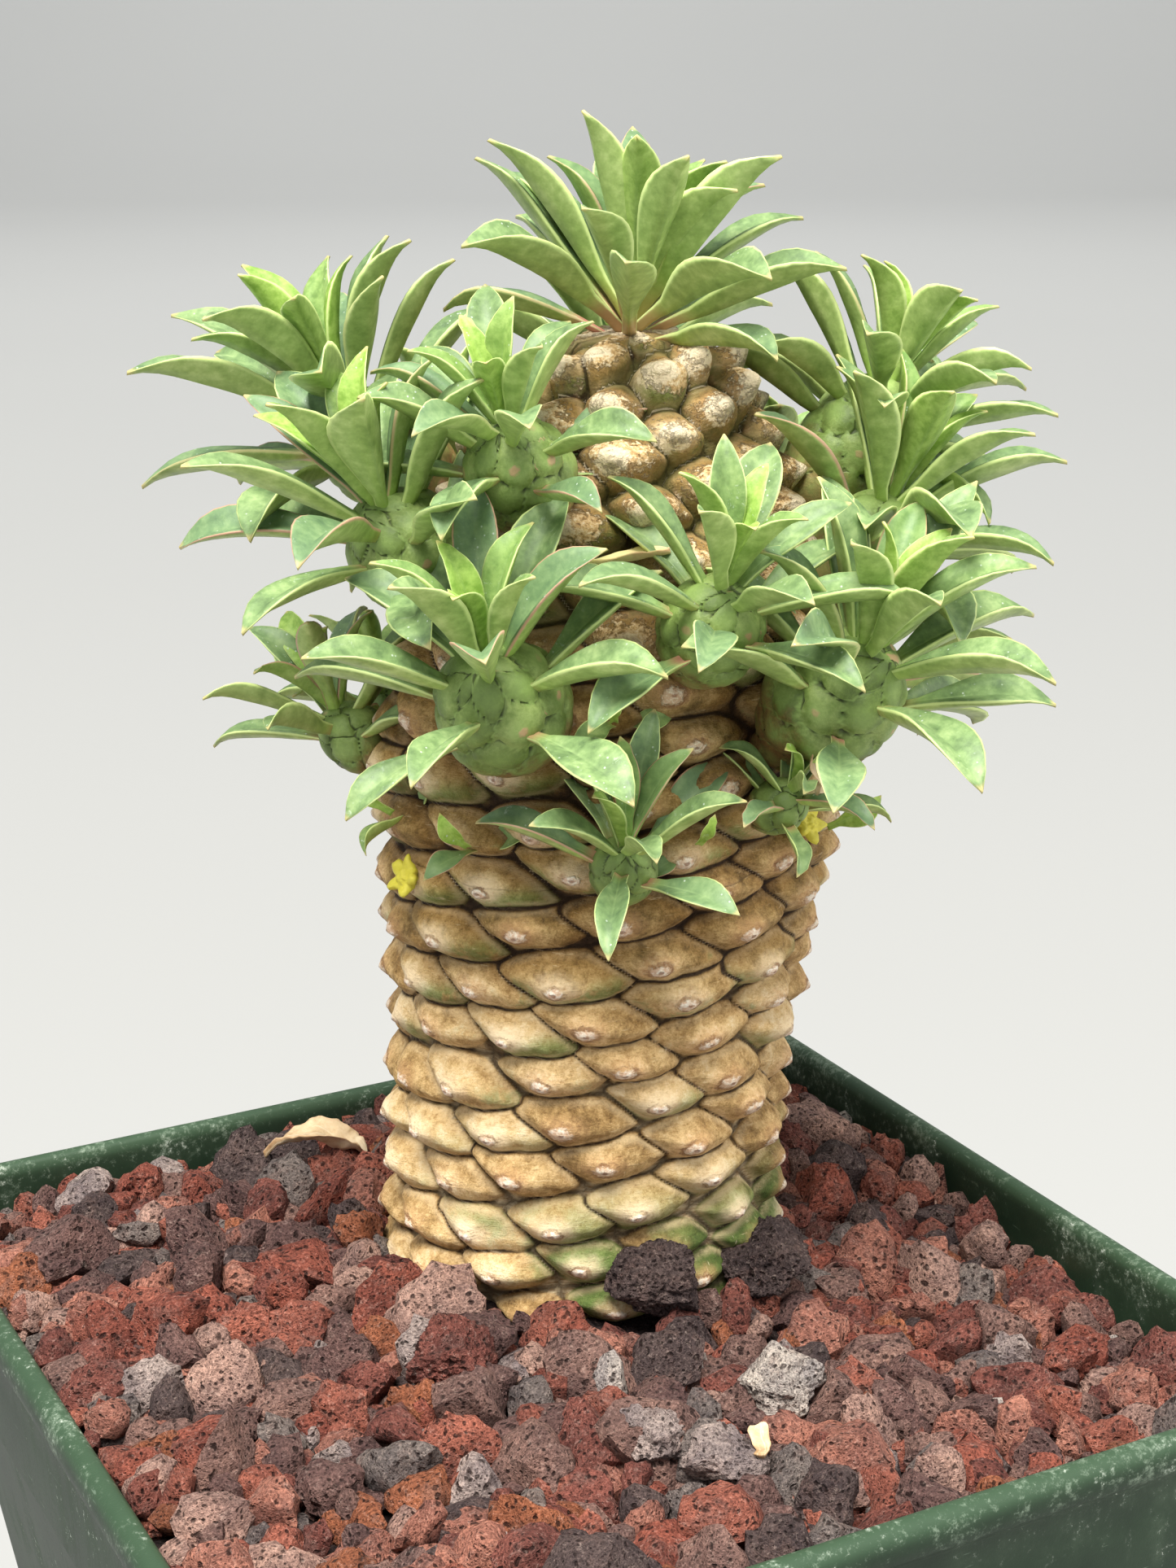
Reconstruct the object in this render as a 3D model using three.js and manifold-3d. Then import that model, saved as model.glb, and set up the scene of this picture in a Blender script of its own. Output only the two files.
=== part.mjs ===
// Potted euphorbia: a square nursery pot of lava gravel that holds one thick tuberculate
// stem, with a leafy crown and a ring of leafy side shoots round its upper half.
// Millimetres, +Z up, origin at the bottom centre of the pot.
import * as THREE from "three";
import { mergeVertices } from "three/addons/utils/BufferGeometryUtils.js";
import Module from "manifold-3d";

const wasm = await Module();
wasm.setup();

// ---- Driving dimensions ----

const CLEARANCE = 0.3; // between pieces that touch

const POT_HEIGHT = 115;
const RIM_SIDE = 127; // outside of the rim, flat to flat
const BASE_SIDE = 92;
const POT_WALL = 1.5;
const POT_FLOOR = 2;
const LIP_HEIGHT = 4;
const LIP_OVERHANG = 1.4;
const BAND_HEIGHT = 19; // upright band under the lip
const BAND_STEP = 1.2; // how far the band stands out from the wall under it
const BAND_TAPER = 0.6;
const RIM_CORNER = 11;
const BASE_CORNER = 8;
const DRAIN_HOLE = 11;
const DRAIN_INSET = 17; // from the base's edge to a drain hole's centre

const GRAVEL_BELOW_RIM = 4;
const GRAVEL_DEPTH = 28;
const GRAVEL_SLOPE = 2.3; // how much lower the bed lies on the +X side
const GRAVEL_MOUND = 9;
const GRAVEL_MOUND_REACH = 34;
const GRAVEL_LUMP = 1.6;
const GRAVEL_LUMP_PITCH = 9;

const STEM_FOOT = [7.6, 10.5]; // where the axis passes the rim's level
const STEM_LEAN = [0.052, -0.027]; // sideways run for each millimetre of height
const STEM_GIRTH = 1; // multiplies every radius of the profile
const STEM_BURIED = 45;
const STEM_PROFILE = [
  // height above the rim, radius
  [-15, 21],
  [0, 22.5],
  [27, 23],
  [47, 25],
  [60, 25.5],
  [72, 24.5],
  [84, 21],
  [95, 16.5],
  [103, 12.5],
  [107, 9],
];
const STEM_TIP = 109;
const STEM_TUBERCLES = { rise: 0.405, turn: 139.21, start: 141, bump: 0.7, groove: 1.2 };
const TURN_OF_A_LEAF = 137.5;

const LEAF_WIDTH_SHARE = 0.31; // of its length
const LEAF_THICKNESS = 1.1;
const LEAF_FOLD = 0.24; // how far the edges stand above the midrib, as a share of width
const LEAF_STALK_WIDTH = 1.5;

// name, bearing round the stem, height above the rim, body radius, reach of the body's middle
// from the stem, tilt from upright, leaves, leaf length, turn of the first leaf
const SHOOTS = [
  ["shoot_01", 188, 83, 6.6, 6.8, 52, 12, 23, 20],
  ["shoot_02", 150, 89, 6.2, 10.5, 50, 14, 24, 200],
  ["shoot_03", 212, 92, 5.8, 5.6, 42, 10, 18, 100],
  ["shoot_04", 220, 69, 7.0, 7.0, 50, 11, 21, 60],
  ["shoot_05", 263, 77, 5.6, 5.6, 46, 10, 19, 250],
  ["shoot_06", 292, 67, 7.2, 7.2, 50, 12, 23, 10],
  ["shoot_07", 324, 80, 5.8, 7.0, 46, 10, 22, 320],
  ["shoot_08", 341, 88, 6.0, 11.5, 44, 13, 20, 140],
  ["shoot_09", 246, 53, 3.6, 3.8, 48, 6, 16, 75],
  ["shoot_10", 154, 60, 3.8, 4.2, 52, 7, 17, 290],
  ["shoot_11", 283, 59, 3.0, 3.0, 60, 5, 11, 190],
  ["shoot_12", 96, 78, 6.4, 7.0, 48, 11, 21, 35],
  ["shoot_13", 62, 90, 6.0, 9.0, 40, 12, 20, 270],
  ["shoot_14", 26, 74, 6.2, 6.6, 44, 11, 19, 170],
  ["shoot_15", 348, 62, 5.6, 5.6, 46, 10, 18, 230],
  ["shoot_16", 118, 57, 4.2, 4.6, 54, 7, 16, 120],
  ["shoot_17", 62, 58, 4.6, 5.0, 50, 8, 17, 15],
];
const ROSETTE_UPRIGHT = 0.45; // a rosette's tilt, as a share of its body's
const CROWN = { radius: 7.2, height: 5, sides: 7, leaves: 17, length: 25, turn: 40, spread: 66 };
const CROWN_LEAN = { bearing: 330, tilt: 6 };

// name, bearing, height above the rim, leaves, leaf length
const SPROUTS = [
  ["sprout_1", 242, 71, 3, 7],
  ["sprout_2", 209, 56, 3, 8],
  ["sprout_3", 309, 54, 2, 10],
  ["sprout_4", 263, 57, 2, 6],
  ["sprout_5", 182, 57, 3, 7],
  ["sprout_6", 88, 56, 3, 8],
  ["sprout_7", 22, 55, 3, 7],
];
const FLOWERS = [
  ["flower_1", 189, 50],
  ["flower_2", 296, 56],
];
const FLOWER_SIZE = 2.6;
const SPROUT_TILT = 62;
const FLOWER_TILT = 70;

// name, place on the gravel, size, turn, colour. A stone by the stem is placed by its bearing
// from the stem's foot and the gap between its middle and the stem.
const STONES = [
  ["stone_1", { bearing: 263.9, gap: 2.1 }, 10.5, 20, 0x3b2427],
  ["stone_2", { bearing: 297.8, gap: 4.1 }, 10.5, 75, 0x4a2a2a],
  ["stone_3", [9, -33], 8.5, 140, 0x8f8d90],
  ["stone_4", [-9, -36], 8, 250, 0x77706f],
  ["stone_5", [-4, -43], 8, 310, 0x7c7675],
  ["stone_6", [-22, -15], 10, 190, 0x7a3a30],
];

const STONE_PROUD = 0.3; // a loose stone's middle above the bed, as a share of its size

// name, where it hangs (bearing, height and distance off the stem), length, bearing that it
// points to, droop from upright, curl, look
const LOOSE_LEAVES = [
  ["dying_leaf", [232, 88, 4], 9, 335, 92, -20, "yellow"],
  ["withered_leaf", [283, 70, 6.5], 8, 300, 150, 40, "withered"],
];

// name, place on the gravel, length, bearing
const FALLEN_LEAVES = [
  ["fallen_leaf_1", [-20, 45], 15, 340],
  ["fallen_leaf_2", [-1, -46], 7, 65],
];

// ---- Small helpers ----

const radians = (degrees) => THREE.MathUtils.degToRad(degrees);
const wrapped = (degrees) => degrees - 360 * Math.round(degrees / 360);

function material(color, roughness, metalness = 0) {
  return new THREE.MeshStandardMaterial({ color, roughness, metalness });
}

const materials = {
  pot: material(0x2c4a3a, 0.45),
  mix: material(0x3a2b22, 0.95),
  gravel: material(0x8a3f33, 0.95),
  bark: material(0xa8854f, 0.8),
  shoot: material(0x6f8a3c, 0.6),
  leaf: material(0x6f9a62, 0.5),
  sprout: material(0x82a050, 0.55),
  flower: material(0xd8d23a, 0.6),
  yellow: material(0xe6d98a, 0.6),
  withered: material(0xc9ad82, 0.9),
};

function interpolated(table, at) {
  const last = table[table.length - 1];
  if (at <= table[0][0]) return table[0][1];
  for (let i = 1; i < table.length; i += 1) {
    const [x0, y0] = table[i - 1];
    const [x1, y1] = table[i];
    if (at <= x1) return y0 + ((y1 - y0) * (at - x0)) / (x1 - x0);
  }
  return last[1];
}

// A repeatable number from 0 to 1 for a whole number.
function chance(n) {
  const s = Math.sin(n * 127.1 + 311.7) * 43758.5453;
  return s - Math.floor(s);
}

function surface(points, triangles) {
  const geometry = new THREE.BufferGeometry();
  geometry.setAttribute(
    "position",
    new THREE.Float32BufferAttribute(points.flatMap((p) => [p.x, p.y, p.z]), 3),
  );
  geometry.setIndex(triangles.flat());
  return geometry;
}

function solid(geometry) {
  const bare = geometry.clone();
  bare.deleteAttribute("normal");
  bare.deleteAttribute("uv");
  const merged = mergeVertices(bare, 1e-4);
  return new wasm.Manifold(
    new wasm.Mesh({
      numProp: 3,
      vertProperties: new Float32Array(merged.attributes.position.array),
      triVerts: new Uint32Array(merged.index.array),
    }),
  );
}

function largestBody(made) {
  const bodies = made.decompose();
  return bodies.reduce((best, body) => (body.volume() > best.volume() ? body : best));
}

function namedMesh(name, made, look) {
  const { vertProperties, triVerts } = made.getMesh();
  const geometry = new THREE.BufferGeometry();
  geometry.setAttribute("position", new THREE.BufferAttribute(new Float32Array(vertProperties), 3));
  geometry.setIndex(new THREE.BufferAttribute(new Uint32Array(triVerts), 1));
  geometry.computeVertexNormals();
  const mesh = new THREE.Mesh(geometry, look);
  mesh.name = name;
  return mesh;
}

// Joins rings of equally many points into one closed surface with a flat cap at each end.
// The rings run counter-clockwise seen from the last one.
function ringed(rings) {
  const size = rings[0].length;
  const points = rings.flat();
  const triangles = [];
  for (let ring = 0; ring + 1 < rings.length; ring += 1) {
    for (let i = 0; i < size; i += 1) {
      const next = (i + 1) % size;
      const [a, b] = [ring * size + i, ring * size + next];
      triangles.push([a, b, b + size], [a, b + size, a + size]);
    }
  }
  for (const [ring, sign] of [[0, -1], [rings.length - 1, 1]]) {
    const middle = new THREE.Vector3();
    rings[ring].forEach((p) => middle.addScaledVector(p, 1 / size));
    points.push(middle);
    for (let i = 0; i < size; i += 1) {
      const [a, b] = [ring * size + i, ring * size + ((i + 1) % size)];
      triangles.push(sign > 0 ? [a, b, points.length - 1] : [b, a, points.length - 1]);
    }
  }
  return surface(points, triangles);
}

// ---- Pot, mix and gravel ----

const CORNER_STEPS = 4;
const BED_SIDE_STEPS = 4; // the gravel's sides are divided, the pot's are not

function roundedSquare(half, corner, height, sideSteps = 1) {
  const points = [];
  for (let side = 0; side < 4; side += 1) {
    const turn = new THREE.Matrix4().makeRotationZ(radians(90 * side));
    for (let i = 0; i <= CORNER_STEPS; i += 1) {
      const angle = radians((90 * i) / CORNER_STEPS);
      const x = half - corner + corner * Math.cos(angle);
      const y = half - corner + corner * Math.sin(angle);
      points.push(new THREE.Vector3(x, y, height).applyMatrix4(turn));
    }
    for (let i = 1; i < sideSteps; i += 1) {
      const x = (half - corner) * (1 - (2 * i) / sideSteps);
      points.push(new THREE.Vector3(x, half, height).applyMatrix4(turn));
    }
  }
  return points;
}

const RIM_HALF = RIM_SIDE / 2;
const BASE_HALF = BASE_SIDE / 2;
const BAND_FOOT = POT_HEIGHT - BAND_HEIGHT;
const LIP_FOOT = POT_HEIGHT - LIP_HEIGHT;
const BAND_TOP_HALF = RIM_HALF - LIP_OVERHANG;
const BAND_FOOT_HALF = BAND_TOP_HALF - BAND_TAPER;
const WALL_TOP_HALF = BAND_FOOT_HALF - BAND_STEP;

// height, outside half side, corner radius of the pot's walls
const POT_LEVELS = [
  [0, BASE_HALF, BASE_CORNER],
  [BAND_FOOT - BAND_STEP, WALL_TOP_HALF, RIM_CORNER - 1],
  [BAND_FOOT, BAND_FOOT_HALF, RIM_CORNER - 1],
  [LIP_FOOT - 1, BAND_TOP_HALF, RIM_CORNER],
];

function outsideHalf(height) {
  return interpolated(POT_LEVELS.map(([z, half]) => [z, half]), height);
}

function cornerAt(height) {
  return interpolated(POT_LEVELS.map(([z, , corner]) => [z, corner]), height);
}

// Rings that stand a wall and a clearance inside the pot, between two heights.
function cavityRings(from, to, clearance, sideSteps) {
  const inset = POT_WALL + clearance;
  const between = POT_LEVELS.map(([z]) => z).filter((z) => z > from + 0.5 && z < to - 0.5);
  return [from, ...between, to].map((z) =>
    roundedSquare(outsideHalf(z) - inset, cornerAt(z) - inset, z, sideSteps),
  );
}

function potSolid() {
  const lip = [
    [LIP_FOOT, BAND_TOP_HALF + 0.5],
    [LIP_FOOT + 0.5, RIM_HALF - 0.2],
    [LIP_FOOT + 1.5, RIM_HALF],
    [POT_HEIGHT - 1.2, RIM_HALF - 0.1],
    [POT_HEIGHT, RIM_HALF - 1.1],
  ];
  const walls = POT_LEVELS.map(([z, half, corner]) => roundedSquare(half, corner, z));
  const lipRings = lip.map(([z, half]) => roundedSquare(half, RIM_CORNER + 1, z));
  const outside = solid(ringed([...walls, ...lipRings]));
  const inside = solid(ringed(cavityRings(POT_FLOOR, POT_HEIGHT + 1, 0)));
  let made = outside.subtract(inside);
  const reach = BASE_HALF - DRAIN_INSET;
  for (const [x, y] of [[1, 1], [-1, 1], [-1, -1], [1, -1]]) {
    const hole = new THREE.CylinderGeometry(DRAIN_HOLE / 2, DRAIN_HOLE / 2, 4 * POT_FLOOR, 20);
    hole.rotateX(Math.PI / 2);
    hole.translate(reach * x, reach * y, POT_FLOOR / 2);
    made = made.subtract(solid(hole));
  }
  return made;
}

const GRAVEL_FOOT = POT_HEIGHT - GRAVEL_BELOW_RIM - GRAVEL_DEPTH;

function mixSolid(growth) {
  const foot = POT_FLOOR + CLEARANCE - growth;
  const top = GRAVEL_FOOT - CLEARANCE + growth;
  return solid(ringed(cavityRings(foot, top, CLEARANCE - growth)));
}

// The bed's smooth height: sloping to +X, low in the corners and mounded round the stem.
function bedHeight(x, y) {
  const [u, v] = [x / RIM_HALF, y / RIM_HALF];
  const away = Math.hypot(x - STEM_FOOT[0], y - STEM_FOOT[1]);
  const mound = GRAVEL_MOUND * Math.exp(-((away / GRAVEL_MOUND_REACH) ** 2));
  const level = Math.min(GRAVEL_SLOPE * (u * v - u), GRAVEL_BELOW_RIM - 1);
  return POT_HEIGHT - GRAVEL_BELOW_RIM + level + mound;
}

// Domes on a jittered square pitch, like the tops of the uppermost stones.
function lumps(x, y) {
  const column = Math.round(x / GRAVEL_LUMP_PITCH);
  const row = Math.round(y / GRAVEL_LUMP_PITCH);
  let nearest = 1;
  for (let i = column - 1; i <= column + 1; i += 1) {
    for (let j = row - 1; j <= row + 1; j += 1) {
      const cx = (i + 0.6 * (chance(31 * i + 57 * j) - 0.5)) * GRAVEL_LUMP_PITCH;
      const cy = (j + 0.6 * (chance(43 * i - 17 * j) - 0.5)) * GRAVEL_LUMP_PITCH;
      nearest = Math.min(nearest, Math.hypot(x - cx, y - cy) / GRAVEL_LUMP_PITCH);
    }
  }
  return GRAVEL_LUMP * (1 - 2 * nearest * nearest);
}

const GRAVEL_RINGS = 12;

function gravelSolid(growth) {
  const edgeTop = POT_HEIGHT - GRAVEL_BELOW_RIM - 4;
  const rings = cavityRings(GRAVEL_FOOT - growth, edgeTop, CLEARANCE - growth, BED_SIDE_STEPS);
  const edge = rings[rings.length - 1];
  edge.forEach((p) => p.setZ(bedHeight(p.x, p.y) - 1 + growth));
  for (let ring = 1; ring < GRAVEL_RINGS; ring += 1) {
    const share = 1 - (ring - 0.5) / GRAVEL_RINGS;
    rings.push(
      edge.map((p) => {
        const [x, y] = [p.x * share, p.y * share];
        return new THREE.Vector3(x, y, bedHeight(x, y) + lumps(x, y) + growth);
      }),
    );
  }
  return solid(ringed(rings));
}

// ---- Tuberculate bodies ----

// A body covered in spirally set tubercles: a raised point for each one, a low point between
// each three neighbours, and a fan to the axis at each end. place(turn, height, lift) gives
// a point. near and far count the tubercles up to the neighbours on the right and the left.
function tuberculate({ count, turn, rise, start, near, far, bump, groove, place, foot, tip }) {
  const points = [];
  const triangles = [];
  const edges = new Map();
  const bearing = (n) => start - turn * n;
  for (let n = 0; n < count; n += 1) points.push(place(bearing(n), rise * n, bump));
  const raise = (n, ...steps) => {
    const corners = [n, ...steps.map((step) => n + step)];
    const across = steps.reduce((sum, step) => sum + wrapped(-turn * step), 0) / 3;
    const up = steps.reduce((sum, step) => sum + step, 0) / 3;
    points.push(place(bearing(n) + across, rise * (n + up), -groove));
    corners.forEach((a, i) => {
      const b = corners[(i + 1) % 3];
      triangles.push([a, b, points.length - 1]);
      edges.set(`${a} ${b}`, [a, b]);
    });
  };
  for (let n = 0; n + near + far < count; n += 1) {
    raise(n, near, near + far);
    raise(n, near + far, far);
  }
  points.push(foot, tip);
  for (const [a, b] of edges.values()) {
    if (edges.has(`${b} ${a}`)) continue;
    const end = a < count / 2 ? points.length - 2 : points.length - 1;
    triangles.push([b, a, end]);
  }
  return surface(points, triangles);
}

// ---- Stem ----

function stemAxis(height) {
  return new THREE.Vector3(
    STEM_FOOT[0] + STEM_LEAN[0] * height,
    STEM_FOOT[1] + STEM_LEAN[1] * height,
    POT_HEIGHT + height,
  );
}

function stemRadius(height) {
  return STEM_GIRTH * interpolated(STEM_PROFILE, height);
}

function onStem(bearing, height, lift = 0) {
  const radius = stemRadius(height) + lift;
  const [x, y] = [Math.cos(radians(bearing)), Math.sin(radians(bearing))];
  return stemAxis(height).add(new THREE.Vector3(radius * x, radius * y, 0));
}

function stemSolid(growth) {
  const [foot] = STEM_PROFILE[0];
  const [top] = STEM_PROFILE[STEM_PROFILE.length - 1];
  const { rise, turn, start, bump, groove } = STEM_TUBERCLES;
  return solid(
    tuberculate({
      count: Math.round((top - foot) / rise) + 1,
      turn,
      rise,
      start,
      near: 5,
      far: 13,
      bump: bump + growth,
      groove: groove - growth,
      place: (bearing, up, lift) => onStem(bearing, foot + up, lift),
      foot: stemAxis(-STEM_BURIED - growth),
      tip: stemAxis(STEM_TIP + growth),
    }),
  );
}

// ---- Leaves ----

// Half width along a leaf, from its stalk at 0 to its tip at 1, as a share of the blade's.
function bladeShare(along) {
  return Math.sin(Math.PI * Math.min(1, along) ** 1.55) ** 0.85;
}

const LEAF_STATIONS = [0, 0.38, 0.72];

// A folded blade that grows from base at an angle off the shoot's axis and curls over.
// The shoot's axis is +Z and around is the leaf's bearing round it.
function leafGeometry({ base, around, angle, curl, length, growth }) {
  const out = new THREE.Vector3(Math.cos(around), Math.sin(around), 0);
  const side = new THREE.Vector3(-Math.sin(around), Math.cos(around), 0);
  const width = LEAF_WIDTH_SHARE * length;
  const at = (along) => {
    const bend = curl * along;
    const up = (length / curl) * (Math.sin(angle + bend) - Math.sin(angle));
    const across = (length / curl) * (Math.cos(angle) - Math.cos(angle + bend));
    return base.clone().addScaledVector(out, across).add(new THREE.Vector3(0, 0, up));
  };
  const points = [];
  for (const along of LEAF_STATIONS) {
    const bend = angle + curl * along;
    const face = out.clone().multiplyScalar(-Math.cos(bend)).setZ(Math.sin(bend));
    const half = Math.max(LEAF_STALK_WIDTH, width * bladeShare(along)) / 2;
    const thick = LEAF_THICKNESS / 2 + growth;
    const reach = half + 3 * growth;
    const lift = 2 * reach * LEAF_FOLD;
    const middle = at(along);
    points.push(
      middle.clone().addScaledVector(side, reach).addScaledVector(face, lift),
      middle.clone().addScaledVector(face, thick),
      middle.clone().addScaledVector(side, -reach).addScaledVector(face, lift),
      middle.clone().addScaledVector(face, -thick),
    );
  }
  points.push(at(1 + (3 * growth) / length));
  const triangles = [[2, 1, 0], [3, 2, 0]];
  const tip = points.length - 1;
  for (let station = 0; station < LEAF_STATIONS.length; station += 1) {
    for (let i = 0; i < 4; i += 1) {
      const [a, b] = [4 * station + i, 4 * station + ((i + 1) % 4)];
      if (station + 1 === LEAF_STATIONS.length) triangles.push([a, b, tip]);
      else triangles.push([a, b, b + 4], [a, b + 4, a + 4]);
    }
  }
  return surface(points, triangles);
}

// The rosette rule: leaves turn by the golden angle, the young ones stand up in the middle
// and the old ones spread from the edge of the dome that bears them.
function rosetteSolid({ foot, radius, height, sides, leaves, length, turn, spread, growth }) {
  const dome = new THREE.LatheGeometry(
    [
      [0, -growth],
      [0.85 * radius + growth, -growth],
      [0.7 * radius + growth, 0.6 * height + growth],
      [0, height + growth],
    ].map(([x, y]) => new THREE.Vector2(x, y)),
    sides,
  );
  dome.rotateX(Math.PI / 2);
  dome.translate(0, 0, foot);
  let made = solid(dome);
  for (let i = 0; i < leaves; i += 1) {
    const age = i / Math.max(1, leaves - 1);
    const leaf = leafGeometry({
      base: new THREE.Vector3(0, 0, foot + height * (0.75 - 0.45 * age)),
      around: radians(turn + TURN_OF_A_LEAF * i),
      angle: radians(12 + (spread - 12) * age),
      curl: radians(18 + 34 * age),
      length: length * (0.66 + 0.34 * Math.sin(Math.PI * (0.1 + 0.75 * age))) + 0.55 * radius * age,
      growth,
    });
    made = made.add(solid(leaf));
  }
  return made;
}

// ---- Shoots ----

// The direction that leans out from upright by tilt, towards a bearing.
function leaning(bearing, tilt) {
  const upright = new THREE.Vector3(0, 0, 1);
  const hinge = new THREE.Vector3(-Math.sin(radians(bearing)), Math.cos(radians(bearing)), 0);
  return upright.applyAxisAngle(hinge, radians(tilt));
}

// Stands a piece that was made along +Z at a point, leaning out by tilt.
function standAt(point, bearing, tilt) {
  const lean = new THREE.Quaternion().setFromUnitVectors(
    new THREE.Vector3(0, 0, 1),
    leaning(bearing, tilt),
  );
  return new THREE.Matrix4().makeRotationFromQuaternion(lean).setPosition(point);
}

function placed(made, matrix) {
  return made.transform(matrix.elements);
}

const BODY_FOOT = -1; // below the stem's surface
const BODY_TOP_SHARE = 1.35; // from the body's middle to its tip, as a share of its radius
const BODY_CUT_SHARE = 0.55; // from its middle to where the leaf-bearing dome takes over
const BODY_TUBERCLES = 16;

// A body swells from its neck to its middle and closes like half an egg.
function bodyGirth(up, radius, reach) {
  if (up < reach) {
    const swell = Math.sin((Math.PI / 2) * ((up - BODY_FOOT) / (reach - BODY_FOOT)));
    return radius * (0.5 + 0.5 * swell);
  }
  const off = (up - reach) / (BODY_TOP_SHARE * radius);
  return radius * Math.sqrt(Math.max(0.12, 1 - off * off));
}

function shootBodySolid(radius, reach, growth) {
  const top = reach + BODY_TOP_SHARE * radius;
  const whole = solid(
    tuberculate({
      count: BODY_TUBERCLES,
      turn: TURN_OF_A_LEAF,
      rise: (top - BODY_FOOT) / (BODY_TUBERCLES - 1),
      start: 0,
      near: 5,
      far: 3,
      bump: 0.06 * radius + growth,
      groove: 0.08 * radius - growth,
      place: (bearing, up, lift) => {
        const r = bodyGirth(BODY_FOOT + up, radius, reach) + lift;
        const turn = radians(bearing);
        return new THREE.Vector3(r * Math.cos(turn), r * Math.sin(turn), BODY_FOOT + up);
      },
      foot: new THREE.Vector3(0, 0, BODY_FOOT - growth),
      tip: new THREE.Vector3(0, 0, top + growth),
    }),
  );
  const above = new THREE.BoxGeometry(4 * radius, 4 * radius, 4 * radius);
  above.translate(0, 0, reach + (BODY_CUT_SHARE + 2) * radius + growth);
  return whole.subtract(solid(above));
}

function shootLeavesSolid(radius, leaves, length, turn, growth) {
  return rosetteSolid({
    foot: 2 * CLEARANCE,
    radius,
    height: 0.75 * radius,
    sides: 6,
    leaves,
    length,
    turn,
    spread: 84,
    growth,
  });
}

function sproutSolid(leaves, length, growth) {
  return rosetteSolid({
    foot: 0,
    radius: 1.4,
    height: 2.2,
    sides: 5,
    leaves,
    length,
    turn: 60,
    spread: 62,
    growth,
  });
}

function flowerSolid(growth) {
  const profile = [
    [0, 0],
    [0.28, 0],
    [0.28, 0.7],
    [0.75, 1.1],
    [0.8, 1.5],
    [0.4, 1.6],
    [0, 1.45],
  ];
  const scaled = profile.map(([x, y]) => {
    return new THREE.Vector2(x > 0 ? x * FLOWER_SIZE + growth : 0, y * FLOWER_SIZE);
  });
  const cup = new THREE.LatheGeometry(scaled, 7);
  cup.rotateX(Math.PI / 2);
  return solid(cup);
}

// ---- Loose pieces on the gravel ----

function stoneSolid(size, turn, growth) {
  const geometry = mergeVertices(bareSphere(size / 2 + growth));
  const position = geometry.attributes.position;
  for (let i = 0; i < position.count; i += 1) {
    const p = new THREE.Vector3().fromBufferAttribute(position, i);
    const rough = 0.86 + 0.24 * chance(turn + 7 * i);
    p.multiply(new THREE.Vector3(1.08, 0.95, 0.8)).multiplyScalar(rough);
    position.setXYZ(i, p.x, p.y, p.z);
  }
  geometry.rotateZ(radians(turn));
  return solid(geometry);
}

function bareSphere(radius) {
  const geometry = new THREE.IcosahedronGeometry(radius, 1);
  geometry.deleteAttribute("normal");
  geometry.deleteAttribute("uv");
  return geometry;
}

function stonePlace(place) {
  if (Array.isArray(place)) return place;
  const away = stemRadius(0) + place.gap;
  const turn = radians(place.bearing);
  return [STEM_FOOT[0] + away * Math.cos(turn), STEM_FOOT[1] + away * Math.sin(turn)];
}

// A single leaf off its shoot: it points to a bearing, droops from upright and curls.
function looseLeafSolid(length, bearing, droop, curl, growth) {
  const leaf = leafGeometry({
    base: new THREE.Vector3(0, 0, 0),
    around: radians(bearing),
    angle: radians(droop),
    curl: radians(curl),
    length,
    growth,
  });
  return solid(leaf);
}

// ---- Assembly ----

const euphorbia = new THREE.Group();
let taken; // all that is already filled, grown by the clearance

// Adds a piece, cut clear of all that was added before it. make(growth) gives its solid.
function addPiece(name, make, look, place = new THREE.Matrix4()) {
  const whole = placed(make(0), place);
  const grown = placed(make(CLEARANCE), place);
  const made = taken ? largestBody(whole.subtract(taken)) : whole;
  euphorbia.add(namedMesh(name, made, look));
  taken = taken ? taken.add(grown) : grown;
}

addPiece("stem", stemSolid, materials.bark);

for (const [name, where, size, turn, color] of STONES) {
  const [x, y] = stonePlace(where);
  const rest = bedHeight(x, y) + STONE_PROUD * size;
  const place = new THREE.Matrix4().makeTranslation(x, y, rest);
  addPiece(name, (growth) => stoneSolid(size, turn, growth), material(color, 0.95), place);
}

addPiece("potting_mix", mixSolid, materials.mix);
addPiece("gravel_bed", gravelSolid, materials.gravel);
euphorbia.add(namedMesh("pot", potSolid(), materials.pot));

for (const [name, bearing, height, radius, reach, tilt] of SHOOTS) {
  const place = standAt(onStem(bearing, height), bearing, tilt);
  addPiece(`${name}_body`, (growth) => shootBodySolid(radius, reach, growth), materials.shoot, place);
}

const crownFoot = stemAxis(STEM_TIP);
crownFoot.z += 2 * CLEARANCE;
addPiece(
  "crown_leaves",
  (growth) => rosetteSolid({ ...CROWN, foot: 0, growth }),
  materials.leaf,
  standAt(crownFoot, CROWN_LEAN.bearing, CROWN_LEAN.tilt),
);

for (const [name, bearing, height, radius, reach, tilt, leaves, length, turn] of SHOOTS) {
  const cut = reach + BODY_CUT_SHARE * radius;
  const point = onStem(bearing, height).addScaledVector(leaning(bearing, tilt), cut);
  const place = standAt(point, bearing, ROSETTE_UPRIGHT * tilt);
  const make = (growth) => shootLeavesSolid(radius, leaves, length, turn, growth);
  addPiece(`${name}_leaves`, make, materials.leaf, place);
}

for (const [name, bearing, height, leaves, length] of SPROUTS) {
  const place = standAt(onStem(bearing, height, 0.6), bearing, SPROUT_TILT);
  addPiece(name, (growth) => sproutSolid(leaves, length, growth), materials.sprout, place);
}

for (const [name, bearing, height] of FLOWERS) {
  const place = standAt(onStem(bearing, height, -0.5), bearing, FLOWER_TILT);
  addPiece(name, flowerSolid, materials.flower, place);
}

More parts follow.
